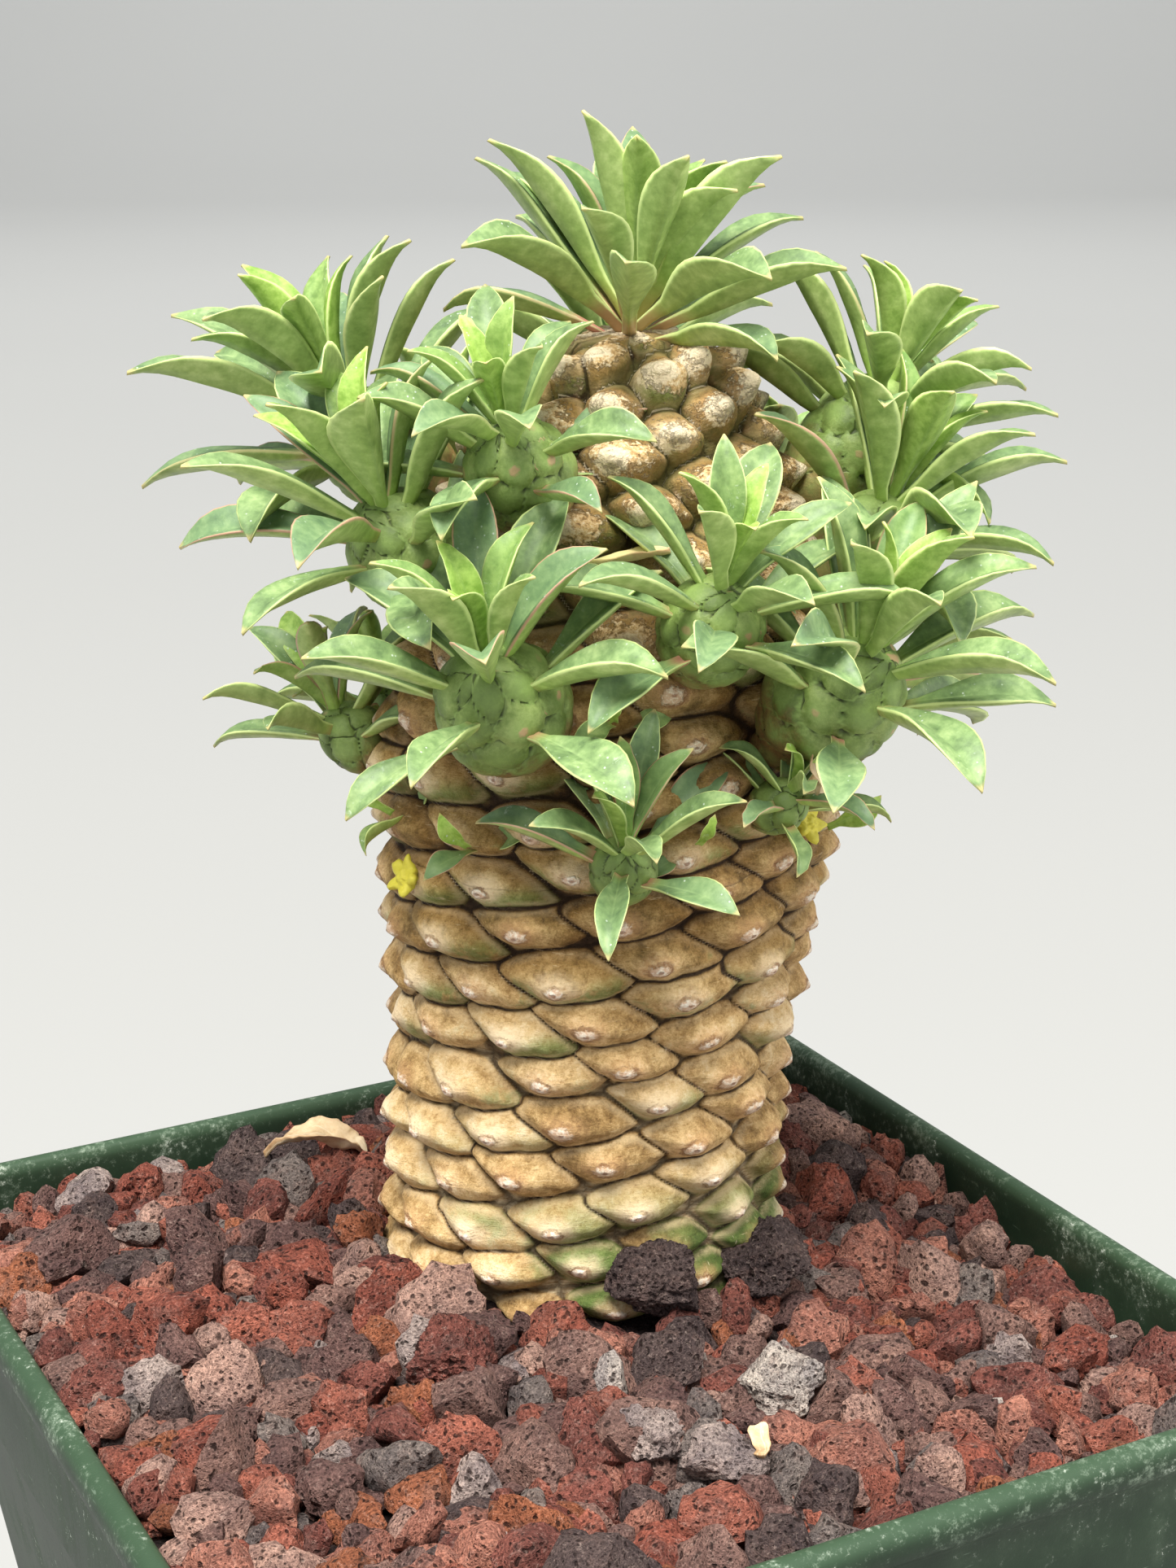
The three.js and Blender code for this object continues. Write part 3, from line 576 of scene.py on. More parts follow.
def pot_look():
    """Dark green satin plastic with pale water marks and scuffs, and a painted highlight along the top
    of the lip.
    """
    look = Look("green_plastic")
    x, y, z = look.place.parts()
    height = z - POT_TALL
    grain = look.noise(0.3, 3.0, 0.6)
    film = look.noise(14.0, 5.0, 0.62)
    streaks = look.noise(5.0, 4.0, 0.6, look.vector(x, y, z * 0.18))
    fine = look.noise(0.9, 5.0, 0.8)
    look.colour = look.ramp(film, [(0.3, 28, 43, 30), (0.7, 44, 61, 44)])
    # painted highlight: the top of the lip is lighter, where it catches the light
    rim = height.rise(-2.4, -0.6)
    look.cover(rim * 0.45, paint(66, 90, 66))
    dusty_lip = height.rise(-5.5, -3.0) * (fine * 0.7 + film * 0.5).rise(0.60, 0.76)
    look.cover(dusty_lip * 0.5, paint(142, 158, 138))
    dust = (film * 0.6 + streaks * 0.5 + fine * 0.25).rise(0.66, 0.92) * height.rise(-1.5, -4.0)
    look.cover(dust * 0.35, paint(112, 124, 108))
    flakes = fine.rise(0.58, 0.66) * streaks.rise(0.48, 0.62) * film.rise(0.42, 0.56)
    look.cover(flakes * 0.75, paint(206, 212, 200))
    drawn = look.vector(x * 0.12 + y * 0.12, z, 0.0)
    scratch = look.noise(0.5, 2.0, 0.5, drawn).rise(0.70, 0.76)
    look.cover(scratch * 0.4, paint(128, 146, 128))
    relief = grain * 0.25 + flakes * 0.3 + film * 0.4
    rough = 0.46 + dust * 0.3 + flakes * 0.3 + grain * 0.1
    return look.finish(rough, relief, 0.08, 0.25)


def soil_look():
    look = Look("potting_mix")
    grain = look.noise(0.8, 5.0, 0.75)
    bits = look.cells(2.6)
    dark, middle, pale = (0.020, 0.012, 0.008), (0.062, 0.038, 0.024), (0.130, 0.090, 0.060)
    look.colour = look.ramp(grain, [(0.3, dark), (0.55, middle), (0.75, pale)])
    look.cover(bits.rise(0.3, 0.1) * 0.5, (0.30, 0.24, 0.18))
    return look.finish(0.95, grain + bits * 0.5, 0.8)


def dry_leaf_look(name, stops, vein_colour):
    look = Look(name)
    across = look.attribute("across")
    along = look.attribute("along")
    blots = look.noise(1.8, 4.0, 0.62)
    grain = look.noise(0.3, 4.0, 0.7)
    veins = look.noise(0.7, 4.0, 0.6, look.vector(across * 2.4, along, 0.0))
    look.colour = look.ramp(blots * 0.5 + grain * 0.2 + along * 0.3, stops)
    look.cover(veins.rise(0.52, 0.66) * 0.4, vein_colour)
    edge = abs(across).rise(0.8, 1.0)
    look.tint(edge * 0.5, (0.75, 0.55, 0.40))
    relief = veins * 0.6 + grain * 0.3
    return look.finish(0.62 + grain * 0.2, relief, 0.15)


def flower_look():
    look = Look("yellow_flower")
    level = look.attribute("level")
    grain = look.noise(0.25, 4.0, 0.65)
    look.colour = look.ramp(
        level + (grain - 0.5) * 0.4,
        [(0.1, 120, 150, 52), (0.45, 172, 176, 48), (0.85, 214, 202, 66)],
    )
    return look.finish(0.45 + grain * 0.15, grain, 0.08)


def studio_look(name, colour):
    look = Look(name)
    haze = look.noise(900.0, 2.0)
    look.colour = look.ramp(haze, [(0.3, tuple(0.97 * c for c in colour)), (0.7, colour)])
    return look.finish(0.9, haze, 0.01, 0.1)


# ---- Numbers that repeat ----


def hashed(*counts):
    """Repeatable numbers from 0 to 1 for whole numbers, as an array."""
    total = np.zeros(np.broadcast(*counts).shape, np.float64)
    for weight, count in zip((12.9898, 78.233, 37.719, 93.989), counts):
        total = total + weight * count
    s = np.sin(total) * 43758.5453
    return s - np.floor(s)


def value_noise(points, size, seed=0):
    """Smooth noise from -1 to 1 at points, with blots about size across."""
    p = np.asarray(points, float) / size
    cell = np.floor(p)
    f = p - cell
    f = f * f * (3 - 2 * f)
    total = np.zeros(len(p))
    for corner in range(8):
        bits = np.array([corner & 1, (corner >> 1) & 1, (corner >> 2) & 1])
        weight = np.prod(np.where(bits, f, 1 - f), axis=1)
        at = cell + bits
        total += weight * hashed(at[:, 0] + seed * 17.0, at[:, 1] - seed * 5.0, at[:, 2] + 3.0)
    return 2 * total - 1


def layered(points, size, octaves=4, seed=0):
    total = np.zeros(len(points))
    for octave in range(octaves):
        total += value_noise(points, size / 2**octave, seed + octave) * 0.55**octave
    return total


def cell_gap(points, size, seed=0):
    """Distance to the nearest of points scattered one to a cell, in cells."""
    p = np.asarray(points, float) / size
    cell = np.floor(p)
    best = np.full(len(p), 9.0)
    for step_to in np.ndindex(3, 3, 3):
        at = cell + step_to - 1
        offset = np.stack([hashed(*at.T, seed + salt) for salt in (1, 2, 3)], 1)
        best = np.minimum(best, np.linalg.norm(at + offset - p, axis=1))
    return best


def smooth_curve(table, blur):
    """A function that follows the table's points with its corners rounded off."""
    at = np.array([row[0] for row in table], float)
    values = np.array([row[1] for row in table], float)
    fine = np.arange(at[0], at[-1] + 0.25, 0.25)
    plain = np.interp(fine, at, values)
    reach = np.arange(-3 * blur, 3 * blur + 0.25, 0.25)
    weights = np.exp(-((reach / blur) ** 2))
    padded = np.pad(plain, len(reach) // 2, mode="reflect", reflect_type="odd")
    smoothed = np.convolve(padded, weights / weights.sum(), mode="valid")[: len(fine)]
    return lambda value: np.interp(value, fine, smoothed)


# ---- Meshes ----


def link(name, mesh, look):
    piece = bpy.data.objects.new(name, mesh)
    bpy.context.scene.collection.objects.link(piece)
    mesh.materials.clear()
    mesh.materials.append(look)
    mesh.shade_smooth()
    return piece


def mesh_of(name, points, faces, attributes=None):
    """A mesh from points in millimetres over the rim, with named numbers or vectors."""
    mesh = bpy.data.meshes.new(name)
    placed = np.asarray(points, float) * MM + np.array([0, 0, RIM])
    mesh.from_pydata(placed.tolist(), [], [tuple(int(i) for i in face) for face in faces])
    for key, values in (attributes or {}).items():
        values = np.asarray(values, np.float32)
        kind, field = ("FLOAT_VECTOR", "vector") if values.ndim == 2 else ("FLOAT", "value")
        mesh.attributes.new(key, kind, "POINT").data.foreach_set(field, values.ravel())
    mesh.validate()
    mesh.update()
    return mesh


def closed_rings(rings, size):
    """Quads between rings of size points each, and fans to a foot and a tip, which are the
    two points that follow the rings."""
    a = np.arange(rings * size).reshape(rings, size)
    b = np.roll(a, -1, axis=1)
    foot, tip = np.full((2, size), rings * size) + [[0], [1]]
    quads = np.stack([a[:-1], b[:-1], b[1:], a[1:]], -1).reshape(-1, 4)
    fans = np.stack([b[0], a[0], foot, a[-1], b[-1], tip], -1).reshape(-1, 3)
    return quads.tolist() + fans.tolist()


def give(piece, slot, *nodes):
    """The piece rides on the plant's one body and stands for nodes. Its slot is not used."""
    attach(piece, ROOT)
    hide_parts(*nodes)


def add_piece(name, slot, node, look, points, faces, attributes=None):
    """Makes a whole piece, from points in millimetres over the rim."""
    give(link(name, mesh_of(name, points, faces, attributes), look), slot, node)


def stood(points, place):
    """The points of a thing made at the origin, after its stand's matrix."""
    place = np.array(place)
    return points @ place[:3, :3].T + place[:3, 3]


GOLDEN_TURN = 137.5  # between a leaf or a scale and the next one

# ---- Scaly skin ----


def almond(across, up, wide, tall):
    """How far an almond-shaped scale stands: 1 on its back, 0 round its edge, less outside.
    It is pointed at both ends, slants down to the right and is fullest below its middle."""
    u = np.abs(across) / wide
    v = (up + ALMOND_SLANT * across) / tall
    v = np.where(v < 0, -v * 1.08, v * 0.94)
    q = np.sqrt(v * v + 0.006) - 0.077 + u**2.05
    steep = np.clip(0.5 - 2.0 * v, 0, 1)
    near = np.minimum(q, 1)
    inside = 0.62 * np.abs(1 - near**2.0) ** (0.80 - 0.12 * steep) + 0.38 * (1 - near)
    return np.where(q < 1, inside, -0.35 * (q - 1)) - 0.08 * np.clip(up / tall, -1, 1)


ALMOND_SLANT = 0.11
SCAR_OFF = (-0.8, -0.7)  # from an almond's middle to its scar


def scales(bearing, height, girth, slant, lattice, reach):
    """Relief of a skin of spirally set scales, in their own heights, with the gap to the next
    scale's relief and where each point lies from the scar of its own scale."""
    turn, rise, start, foot, wide, tall, share = lattice
    size = bearing.shape
    best = np.full(size, -9.0)
    second = np.full(size, -9.0)
    own = np.zeros((*size, 3))
    middle = np.round((height - foot) / rise)
    for step in range(-reach, reach + 1):
        n = middle + step
        shift = (hashed(n, 1) - 0.5) * 1.8 * share
        lift = (hashed(n, 2) - 0.5) * 1.2 * share
        off = np.radians(bearing - start + turn * n)
        across = (off - 2 * np.pi * np.round(off / (2 * np.pi))) * girth + shift
        up = (height - foot - rise * n) * slant + lift
        bulk = 0.93 + 0.24 * hashed(n, 3)
        full = 0.80 + 0.40 * hashed(n, 5)
        tilt = (hashed(n, 6) - 0.5) * 0.22
        high = up + tilt * across + SCAR_OFF[1] * share
        stand = almond(across + SCAR_OFF[0] * share, high, wide * bulk, tall * bulk)
        stand = np.where(stand > 0, stand * full, stand)
        cone = np.clip(1 - np.hypot(across, 1.25 * up) / 3.6, 0, 1)
        nub = np.exp(-((across / 1.0) ** 2) - (up / 0.8) ** 2)
        stand = stand + share * (0.34 * cone + 0.16 * nub)
        ahead = stand > best
        second = np.where(ahead, best, np.maximum(second, stand))
        best = np.where(ahead, stand, best)
        tone = hashed(n, 4)
        for k, value in enumerate((across, up, tone)):
            own[..., k] = np.where(ahead, value, own[..., k])
    return best, best - second, own


# ---- Stem ----

STEM_FOOT = np.array([7.6, 10.5, 0.0])
STEM_LEAN = np.array([0.052, -0.027, 1.0])
STEM_BURIED = -45.0
STEM_PROFILE = [
    # height, radius
    (-45, 8),
    (-15, 21),
    (0, 22.5),
    (27, 23),
    (47, 25),
    (60, 25.5),
    (72, 24.5),
    (84, 21),
    (95, 16.5),
    (103, 12.5),
    (107, 9),
    (110, 5),
]
SCALE_TURN = 139.21
SCALE_RISE = 0.405
SCALE_START = 141.0
SCALE_FOOT = -15.0
SCALE_RELIEF = 2.3
stem_radius = smooth_curve(STEM_PROFILE, 2.5)


def stem_axis(height):
    return STEM_FOOT + STEM_LEAN * np.asarray(height, float)[..., None]


def on_stem(bearing, height, lift=0.0):
    """A point lift over the stem's mean surface."""
    turn = math.radians(bearing)
    out = np.array([math.cos(turn), math.sin(turn), 0.0])
    return stem_axis(height) + (float(stem_radius(height)) + lift) * out


STEM_SPLIT = 52.0  # the height where the stem's two pieces meet
STEM_TIP = 109.4
STEM_AROUND = 460
LONE = [0.0, 0.0, 0.5]  # a middling tone, for the points that belong to no scale


def build_stem(look):
    """The stem in two pieces that share a ring, so that each can be fine enough."""
    low = np.concatenate([[STEM_BURIED, -30.0, -18.0], np.linspace(-8.0, STEM_SPLIT, 205)])
    high = np.linspace(STEM_SPLIT, 108.5, 195)
    for name, heights, foot, tip in (
        ("stem_lower", low, STEM_BURIED - 0.5, STEM_SPLIT),
        ("stem_upper", high, STEM_SPLIT, STEM_TIP),
    ):
        points, seam, stand, own = stem_skin(heights, STEM_AROUND)
        points = np.vstack([points, [stem_axis(foot), stem_axis(tip)]])
        attributes = {
            "seam": np.append(seam, [1.0, 1.0]),
            "stand": np.append(stand, [1.0, 1.0]),
            "own_place": np.vstack([own, [LONE] * 2]),
        }
        faces = closed_rings(len(heights), STEM_AROUND)
        add_piece(name, "bark", "stem", look, points, faces, attributes)


def stem_skin(heights, around):
    bearing = np.arange(around) * 360.0 / around
    b, h = np.meshgrid(bearing, heights)
    radius = stem_radius(h)
    slope = stem_radius(h + 0.5) - stem_radius(h - 0.5)
    slant = np.sqrt(1 + slope**2)
    share = np.clip(radius / 24.0, 0.3, 1.05)
    loose = 1 - 0.08 * np.clip((24 - h) / 10, 0, 1)
    tall = 3.0 * loose * np.clip(slant, 1, 1.25)
    lattice = (SCALE_TURN, SCALE_RISE, SCALE_START, SCALE_FOOT, 7.1 * loose * share, tall, 1.0)
    relief, seam, own = scales(b, h, radius, slant, lattice, 24)
    turn = np.radians(b)
    out = np.stack([np.cos(turn), np.sin(turn), 0 * turn], -1)
    flat = (stem_axis(h) + radius[..., None] * out).reshape(-1, 3)
    rough = 0.20 * layered(flat, 1.8, 4, 3) + 0.6 * value_noise(flat, 16.0, 9)
    rough = rough + 0.25 * layered(flat, 4.5, 2, 21)
    fade = np.clip((108.5 - h) / 3.0, 0.2, 1.0).ravel()
    peg = 1 + 0.45 * np.clip((h.ravel() - 74) / 14, 0, 1)
    lift = SCALE_RELIEF * peg * (relief.ravel() - 0.45) * fade + rough
    facing = out.reshape(-1, 3) - slope.reshape(-1, 1) * np.array([0, 0, 1.0])
    facing /= np.linalg.norm(facing, axis=1)[:, None]
    return flat + lift[:, None] * facing, seam.ravel(), relief.ravel(), own.reshape(-1, 3)


# ---- Shoots ----

# name, bearing round the stem, height, body radius, reach of the body's middle from the
# stem, tilt, leaves, leaf length, turn of the first leaf
SHOOTS = [
    ("shoot_01", 188, 83, 6.6, 6.8, 52, 12, 23, 20),
    ("shoot_02", 150, 89, 6.2, 10.5, 50, 14, 24, 200),
    ("shoot_03", 212, 92, 5.8, 5.6, 42, 10, 18, 100),
    ("shoot_04", 220, 69, 7.0, 7.0, 50, 11, 21, 95),
    ("shoot_05", 263, 77, 5.6, 5.6, 46, 10, 19, 250),
    ("shoot_06", 292, 67, 7.2, 7.2, 50, 12, 23, 10),
    ("shoot_07", 324, 80, 5.8, 7.0, 46, 10, 22, 320),
    ("shoot_08", 341, 88, 6.0, 11.5, 44, 13, 20, 140),
    ("shoot_09", 246, 53, 3.6, 3.8, 48, 6, 16, 75),
    ("shoot_10", 154, 60, 3.8, 4.2, 52, 7, 17, 290),
    ("shoot_11", 283, 59, 3.0, 3.0, 60, 5, 11, 190),
    ("shoot_12", 96, 78, 6.4, 7.0, 48, 11, 21, 35),
    ("shoot_13", 62, 90, 6.0, 9.0, 40, 12, 20, 270),
    ("shoot_14", 26, 74, 6.2, 6.6, 44, 11, 19, 170),
    ("shoot_15", 348, 62, 5.6, 5.6, 46, 10, 18, 230),
    ("shoot_16", 118, 57, 4.2, 4.6, 54, 7, 16, 120),
    ("shoot_17", 62, 58, 4.6, 5.0, 50, 8, 17, 15),
]
SHOOT_SPREAD = 82
CROWN_HEIGHT = 109.0
CROWN_LEAN = (330, 6)  # its bearing and its tilt
SPROUT_TILT = 62
ROSETTE_UPRIGHT = 0.45  # a rosette leans out by this share of its shoot's tilt
BODY_AROUND = 64
BODY_FOOT = -1.0
BODY_TOP_SHARE = 1.35
BODY_CUT_SHARE = 0.55

# name, bearing, height, leaves, leaf length
SPROUTS = [
    ("sprout_1", 242, 71, 3, 7),
    ("sprout_2", 209, 56, 3, 8),
    ("sprout_3", 309, 54, 2, 10),
    ("sprout_4", 263, 57, 2, 6),
    ("sprout_5", 182, 57, 3, 7),
    ("sprout_6", 88, 56, 3, 8),
    ("sprout_7", 22, 55, 3, 7),
]


def standing(point, bearing, tilt):
    """Stands a piece made along z at a point, leaning out by tilt. Its bearing stays."""
    turn = math.radians(bearing)
    hinge = Vector((-math.sin(turn), math.cos(turn), 0.0))
    return Matrix.Translation(Vector(point)) @ Matrix.Rotation(math.radians(tilt), 4, hinge)


def leaning(bearing, tilt):
    """The way up of a thing that leans out by tilt."""
    turn = math.radians(bearing)
    lean = math.radians(tilt)
    out = math.sin(lean)
    return np.array([math.cos(turn) * out, math.sin(turn) * out, math.cos(lean)])


def body_girth(up, radius, reach):
    swell = np.sin(np.pi / 2 * np.clip((up - BODY_FOOT) / (reach - BODY_FOOT), 0, 1))
    off = np.clip((up - reach) / (BODY_TOP_SHARE * radius), 0, 1)
    dome = np.sqrt(np.maximum(0.0, 1 - off * off))
    return np.where(up < reach, radius * (0.5 + 0.5 * swell), radius * dome)


def build_body(name, bearing, height, radius, reach, tilt, number, look):
    around = BODY_AROUND
    top = reach + BODY_TOP_SHARE * radius
    share = np.sin(np.linspace(0, np.pi / 2, 44))
    ups = BODY_FOOT - 0.8 + (top - BODY_FOOT + 0.75) * share
    b, up = np.meshgrid(np.arange(around) * 360.0 / around, ups)
    girth = body_girth(up, radius, reach)
    size = 0.48 * radius + 1.9  # across one scale
    rise = size * size * 0.82 / (2 * np.pi * radius)
    wide = size * 0.70 * np.clip(girth / radius, 0.3, 1.0)
    lattice = (GOLDEN_TURN, rise, 17.0 * number, 0.0, wide, size * 0.50, 0.3)
    relief, seam, own = scales(b, up, np.maximum(girth, 0.4), 1.0, lattice, 16)
    turn = np.radians(b)
    plate = np.clip(seam / 0.28, 0, 1) ** 0.5
    stand = radius * (0.12 * plate + 0.09 * np.clip(relief, -0.2, 1) - 0.17)
    stand = stand * np.clip(girth / radius, 0.2, 1)
    out = girth + stand
    points = np.stack([out * np.cos(turn), out * np.sin(turn), up + 0.35 * stand], -1)
    points = points.reshape(-1, 3)
    points = points + 0.10 * layered(points + number * 31.0, 2.0, 3, number)[:, None]
    points = np.vstack([points, [[0, 0, BODY_FOOT - 1.0], [0, 0, top]]])
    points = stood(points, standing(on_stem(bearing, height), bearing, tilt))
    attributes = {
        "seam": np.append(seam.ravel(), [1.0, 1.0]),
        "own_place": np.vstack([own.reshape(-1, 3), [LONE] * 2]),
        "level": np.append(((up - BODY_FOOT) / (top - BODY_FOOT)).ravel(), [0.0, 1.0]),
    }
    faces = closed_rings(len(ups), around)
    add_piece(f"{name}_skin", "shoot_skin", f"{name}_body", look, points, faces, attributes)


# ---- Leaves ----

LEAF_AROUND = 12
LEAF_ALONG = 16
LEAF_FOLD = 0.34
LEAF_THICK = 1.15


def rosette_tree(look):
    """A rosette that stands along z: the young leaves upright in the middle, the old ones
    spreading from the edge of the dome, each leaf turned by the golden angle."""
    inputs = {
        "Leaves": 12,
        "Length": 23.0,
        "Dome radius": 6.0,
        "Dome height": 4.5,
        "Foot": 0.6,
        "Turn": 0.0,
        "Spread": 84.0,
        "Width share": 0.225,
        "Stalk width": 1.6,
        "Seed": 1,
    }
    tree = Growth("rosette", look, inputs)
    given, chance, recall = tree.given, tree.chance, tree.recall
    leaves, length = given["Leaves"], given["Length"]
    index = tree.add("GeometryNodeInputIndex")[0]
    age = index / (leaves - 1.0).most(1.0)
    rad = math.pi / 180
    grown = 0.66 + 0.34 * (math.pi * (0.1 + 0.75 * age)).sine()
    hidden = 0.85 * given["Dome radius"] * age
    long = length * grown * chance(0.88, 1.10, 4) + hidden

    points = tree.add("GeometryNodeMeshLine", {}, {"Count": leaves})["Mesh"]
    for key, value in {
        "age": age,
        "around": (given["Turn"] + GOLDEN_TURN * index) * rad + chance(-0.16, 0.16, 1),
        "angle": (7.0 + (given["Spread"] - 18.0) * age**1.1) * rad + chance(-0.13, 0.13, 2),
        "curl": (19.0 + 9.0 * age) * rad * chance(0.3, 1.8, 3),
        "long": long,
        "foot": given["Foot"] + given["Dome height"] * (0.75 - 1.85 * age),
        "hidden": hidden / long,
        "tone": chance(0.0, 1.0, 5),
        "twist": chance(-0.35, 0.35, 6),
        "wide": chance(0.84, 1.14, 7),
        "folded": chance(0.55, 1.30, 9),
        "wave": chance(0.0, 6.28, 8),
    }.items():
        points = tree.store(points, key, value)
    settings = {"fill_type": "NGON"}
    sockets = {"Vertices": LEAF_AROUND, "Side Segments": LEAF_ALONG, "Radius": 1.0, "Depth": 1.0}
    blank = tree.add("GeometryNodeMeshCylinder", settings, sockets)["Mesh"]
    across, side, level = tree.add("GeometryNodeInputPosition")[0].parts()
    for key, value in (("across", across), ("side", side), ("along", level + 0.5)):
        blank = tree.store(blank, key, value)
    real = tree.copies(tree.moved(points, (0.0, 0.0, 0.0)), blank)

    across, side, t = recall("across"), recall("side"), recall("along")
    long, angle, curl = recall("long"), recall("angle"), recall("curl")
    bend = angle + curl * t
    middle_up = (long / curl) * (bend.sine() - angle.sine())
    middle_out = (long / curl) * (angle.cosine() - bend.cosine())
    bare = recall("hidden")
    t = ((t - bare) / (1.0 - bare)).most(0.0)
    blade = (math.pi * (t**1.6)).sine().most(0.0) ** 0.85
    half = (long * given["Width share"] * recall("wide") * blade).most(given["Stalk width"]) * 0.5
    half = half * t.rise(0.955, 1.0, 1.0, 0.10)
    twist = recall("twist") * t
    thick = LEAF_THICK * 0.5 * (0.55 + 0.55 * t.rise(0.0, 0.25)) * t.rise(0.62, 1.0, 1.0, 0.30)
    thick = thick * (long / 20.0).least(1.1).most(0.45)
    groove = abs(across).rise(0.45, 0.0) * 0.35 * t.rise(0.1, 0.35)
    fold = 2.0 * half * LEAF_FOLD * recall("folded") * abs(across) ** 1.35
    fold = fold * t.rise(1.0, 0.8, 0.6, 1.0)
    wave = 0.10 * half * across * (5.5 * t + recall("wave")).sine()
    off = side * thick + fold + wave - groove * thick - 1.3 * (t**8.0)
    lateral = half * across * twist.cosine() - off * twist.sine()
    normal = off * twist.cosine() + half * across * twist.sine()
    out = middle_out - normal * bend.cosine()
    up = middle_up + normal * bend.sine() + recall("foot")
    turn = recall("around")
    x = out * turn.cosine() - lateral * turn.sine()
    y = out * turn.sine() + lateral * turn.cosine()
    shaped = tree.store(tree.moved(real, tree.vector(x, y, up)), "upper", side)
    return tree.ended(tree.store(shaped, "along", t))


def grown(group, name, base, **inputs):
    """Runs a tree on a base mesh and returns what it makes as a plain mesh."""
    host = bpy.data.objects.new(name, base or bpy.data.meshes.new(name))
    bpy.context.scene.collection.objects.link(host)
    modifier = host.modifiers.new("grow", "NODES")
    modifier.node_group = group
    face = group.interface.items_tree
    named = {item.name: item.identifier for item in face if item.in_out == "INPUT"}
    for key, value in inputs.items():
        modifier[named[key.replace("_", " ")]] = value
    graph = bpy.context.evaluated_depsgraph_get()
    graph.update()
    mesh = bpy.data.meshes.new_from_object(host.evaluated_get(graph))
    host.modifiers.clear()
    bpy.data.objects.remove(host)
    return mesh


def to_frame(mesh, place=Matrix.Identity(4)):
    """Puts a mesh made in millimetres round its own foot into the model's frame."""
    mesh.transform(Matrix.Translation((0, 0, RIM)) @ Matrix.Scale(MM, 4) @ place)
    return mesh


def build_rosette(group, name, node, slot, place, look, **inputs):
    mesh = grown(group, name, None, **inputs)
    give(link(name, to_frame(mesh, place), look), slot, node)


def build_shoots(body, leaf, sprout):
    group = rosette_tree(leaf)
    for number, shoot in enumerate(SHOOTS):
        name, bearing, height, radius, reach, tilt, leaves, length, turn = shoot
        build_body(name, bearing, height, radius, reach, tilt, number, body)
        cut = reach + BODY_CUT_SHARE * radius
        point = on_stem(bearing, height) + leaning(bearing, tilt) * cut
        build_rosette(
            group, f"{name}_foliage", f"{name}_leaves", "leaf",
            standing(point, bearing, ROSETTE_UPRIGHT * tilt), leaf,
            Leaves=leaves + 6 + leaves // 3, Length=0.95 * length, Dome_radius=float(radius),
            Dome_height=0.75 * radius, Foot=0.0, Turn=float(turn), Spread=float(SHOOT_SPREAD),
            Seed=40 * number + 3,
        )
    build_rosette(
        group, "crown_foliage", "crown_leaves", "leaf",
        standing(stem_axis(CROWN_HEIGHT) + (0, 0, 0.6), *CROWN_LEAN), leaf,
        Leaves=30, Length=22.5, Dome_radius=6.0, Dome_height=3.0, Foot=0.0, Turn=40.0,
        Spread=74.0, Seed=901,
    )
    young = rosette_tree(sprout)
    for number, (name, bearing, height, leaves, length) in enumerate(SPROUTS):
        build_rosette(
            young, f"{name}_foliage", name, "young_leaf",
            standing(on_stem(bearing, height, 0.6), bearing, SPROUT_TILT), sprout,
            Leaves=leaves, Length=float(length), Dome_radius=1.4, Dome_height=2.2, Foot=0.0,
            Turn=60.0, Spread=66.0, Width_share=0.38, Stalk_width=0.9, Seed=60 * number + 11,
        )


# ---- Pot ----

CORNER_STEPS = 12
SIDE_STEPS = 16
POT_FLOOR = 2.0
DRAIN_HOLE = 11.0
DRILL_LENGTH = 12.0
DRAIN_INSET = 17.0
BASE_HALF = 46.0
# height over the rim, outside half side, corner radius, from the foot up
POT_OUTSIDE = [
    (-115.0, 45.2, 7.4), (-114.6, 45.8, 7.9), (-113.8, 46.2, 8.0), (-60.0, 54.3, 9.0),
    (-20.6, 60.2, 10.0), (-20.1, 60.45, 10.0), (-19.6, 61.2, 10.2), (-18.9, 61.5, 10.2),
    (-10.0, 61.85, 10.6), (-5.3, 62.1, 11.0), (-4.7, 62.4, 11.4), (-4.3, 62.9, 11.8),
    (-3.7, 63.3, 12.0), (-2.6, 63.45, 12.0), (-1.5, 63.4, 12.0), (-0.7, 63.1, 11.8),
    (-0.25, 62.6, 11.4), (0.0, 61.9, 11.0),
]
# the same inside, from the rim down
POT_INSIDE = [
    (-0.1, 61.2, 10.6), (-0.5, 60.75, 10.2), (-1.6, 60.55, 9.6), (-5.0, 60.5, 9.5),
    (-18.7, 60.0, 9.0), (-20.4, 58.75, 8.8), (-112.0, 45.0, 6.8), (-113.0, 44.3, 6.4),
]


def square_ring(half, corner, height):
    """Points round a square with rounded corners, anticlockwise from its +X side."""
    flat = half - corner
    points = []
    for side in range(4):
        spin = math.radians(90 * side)
        c, s = math.cos(spin), math.sin(spin)
        ring = []
        for i in range(CORNER_STEPS + 1):
            a = math.radians(90 * i / CORNER_STEPS)
            ring.append((flat + corner * math.cos(a), flat + corner * math.sin(a)))
        for i in range(1, SIDE_STEPS):
            ring.append((flat * (1 - 2 * i / SIDE_STEPS), half))
        points.extend((c * x - s * y, s * x + c * y, height) for x, y in ring)
    return points


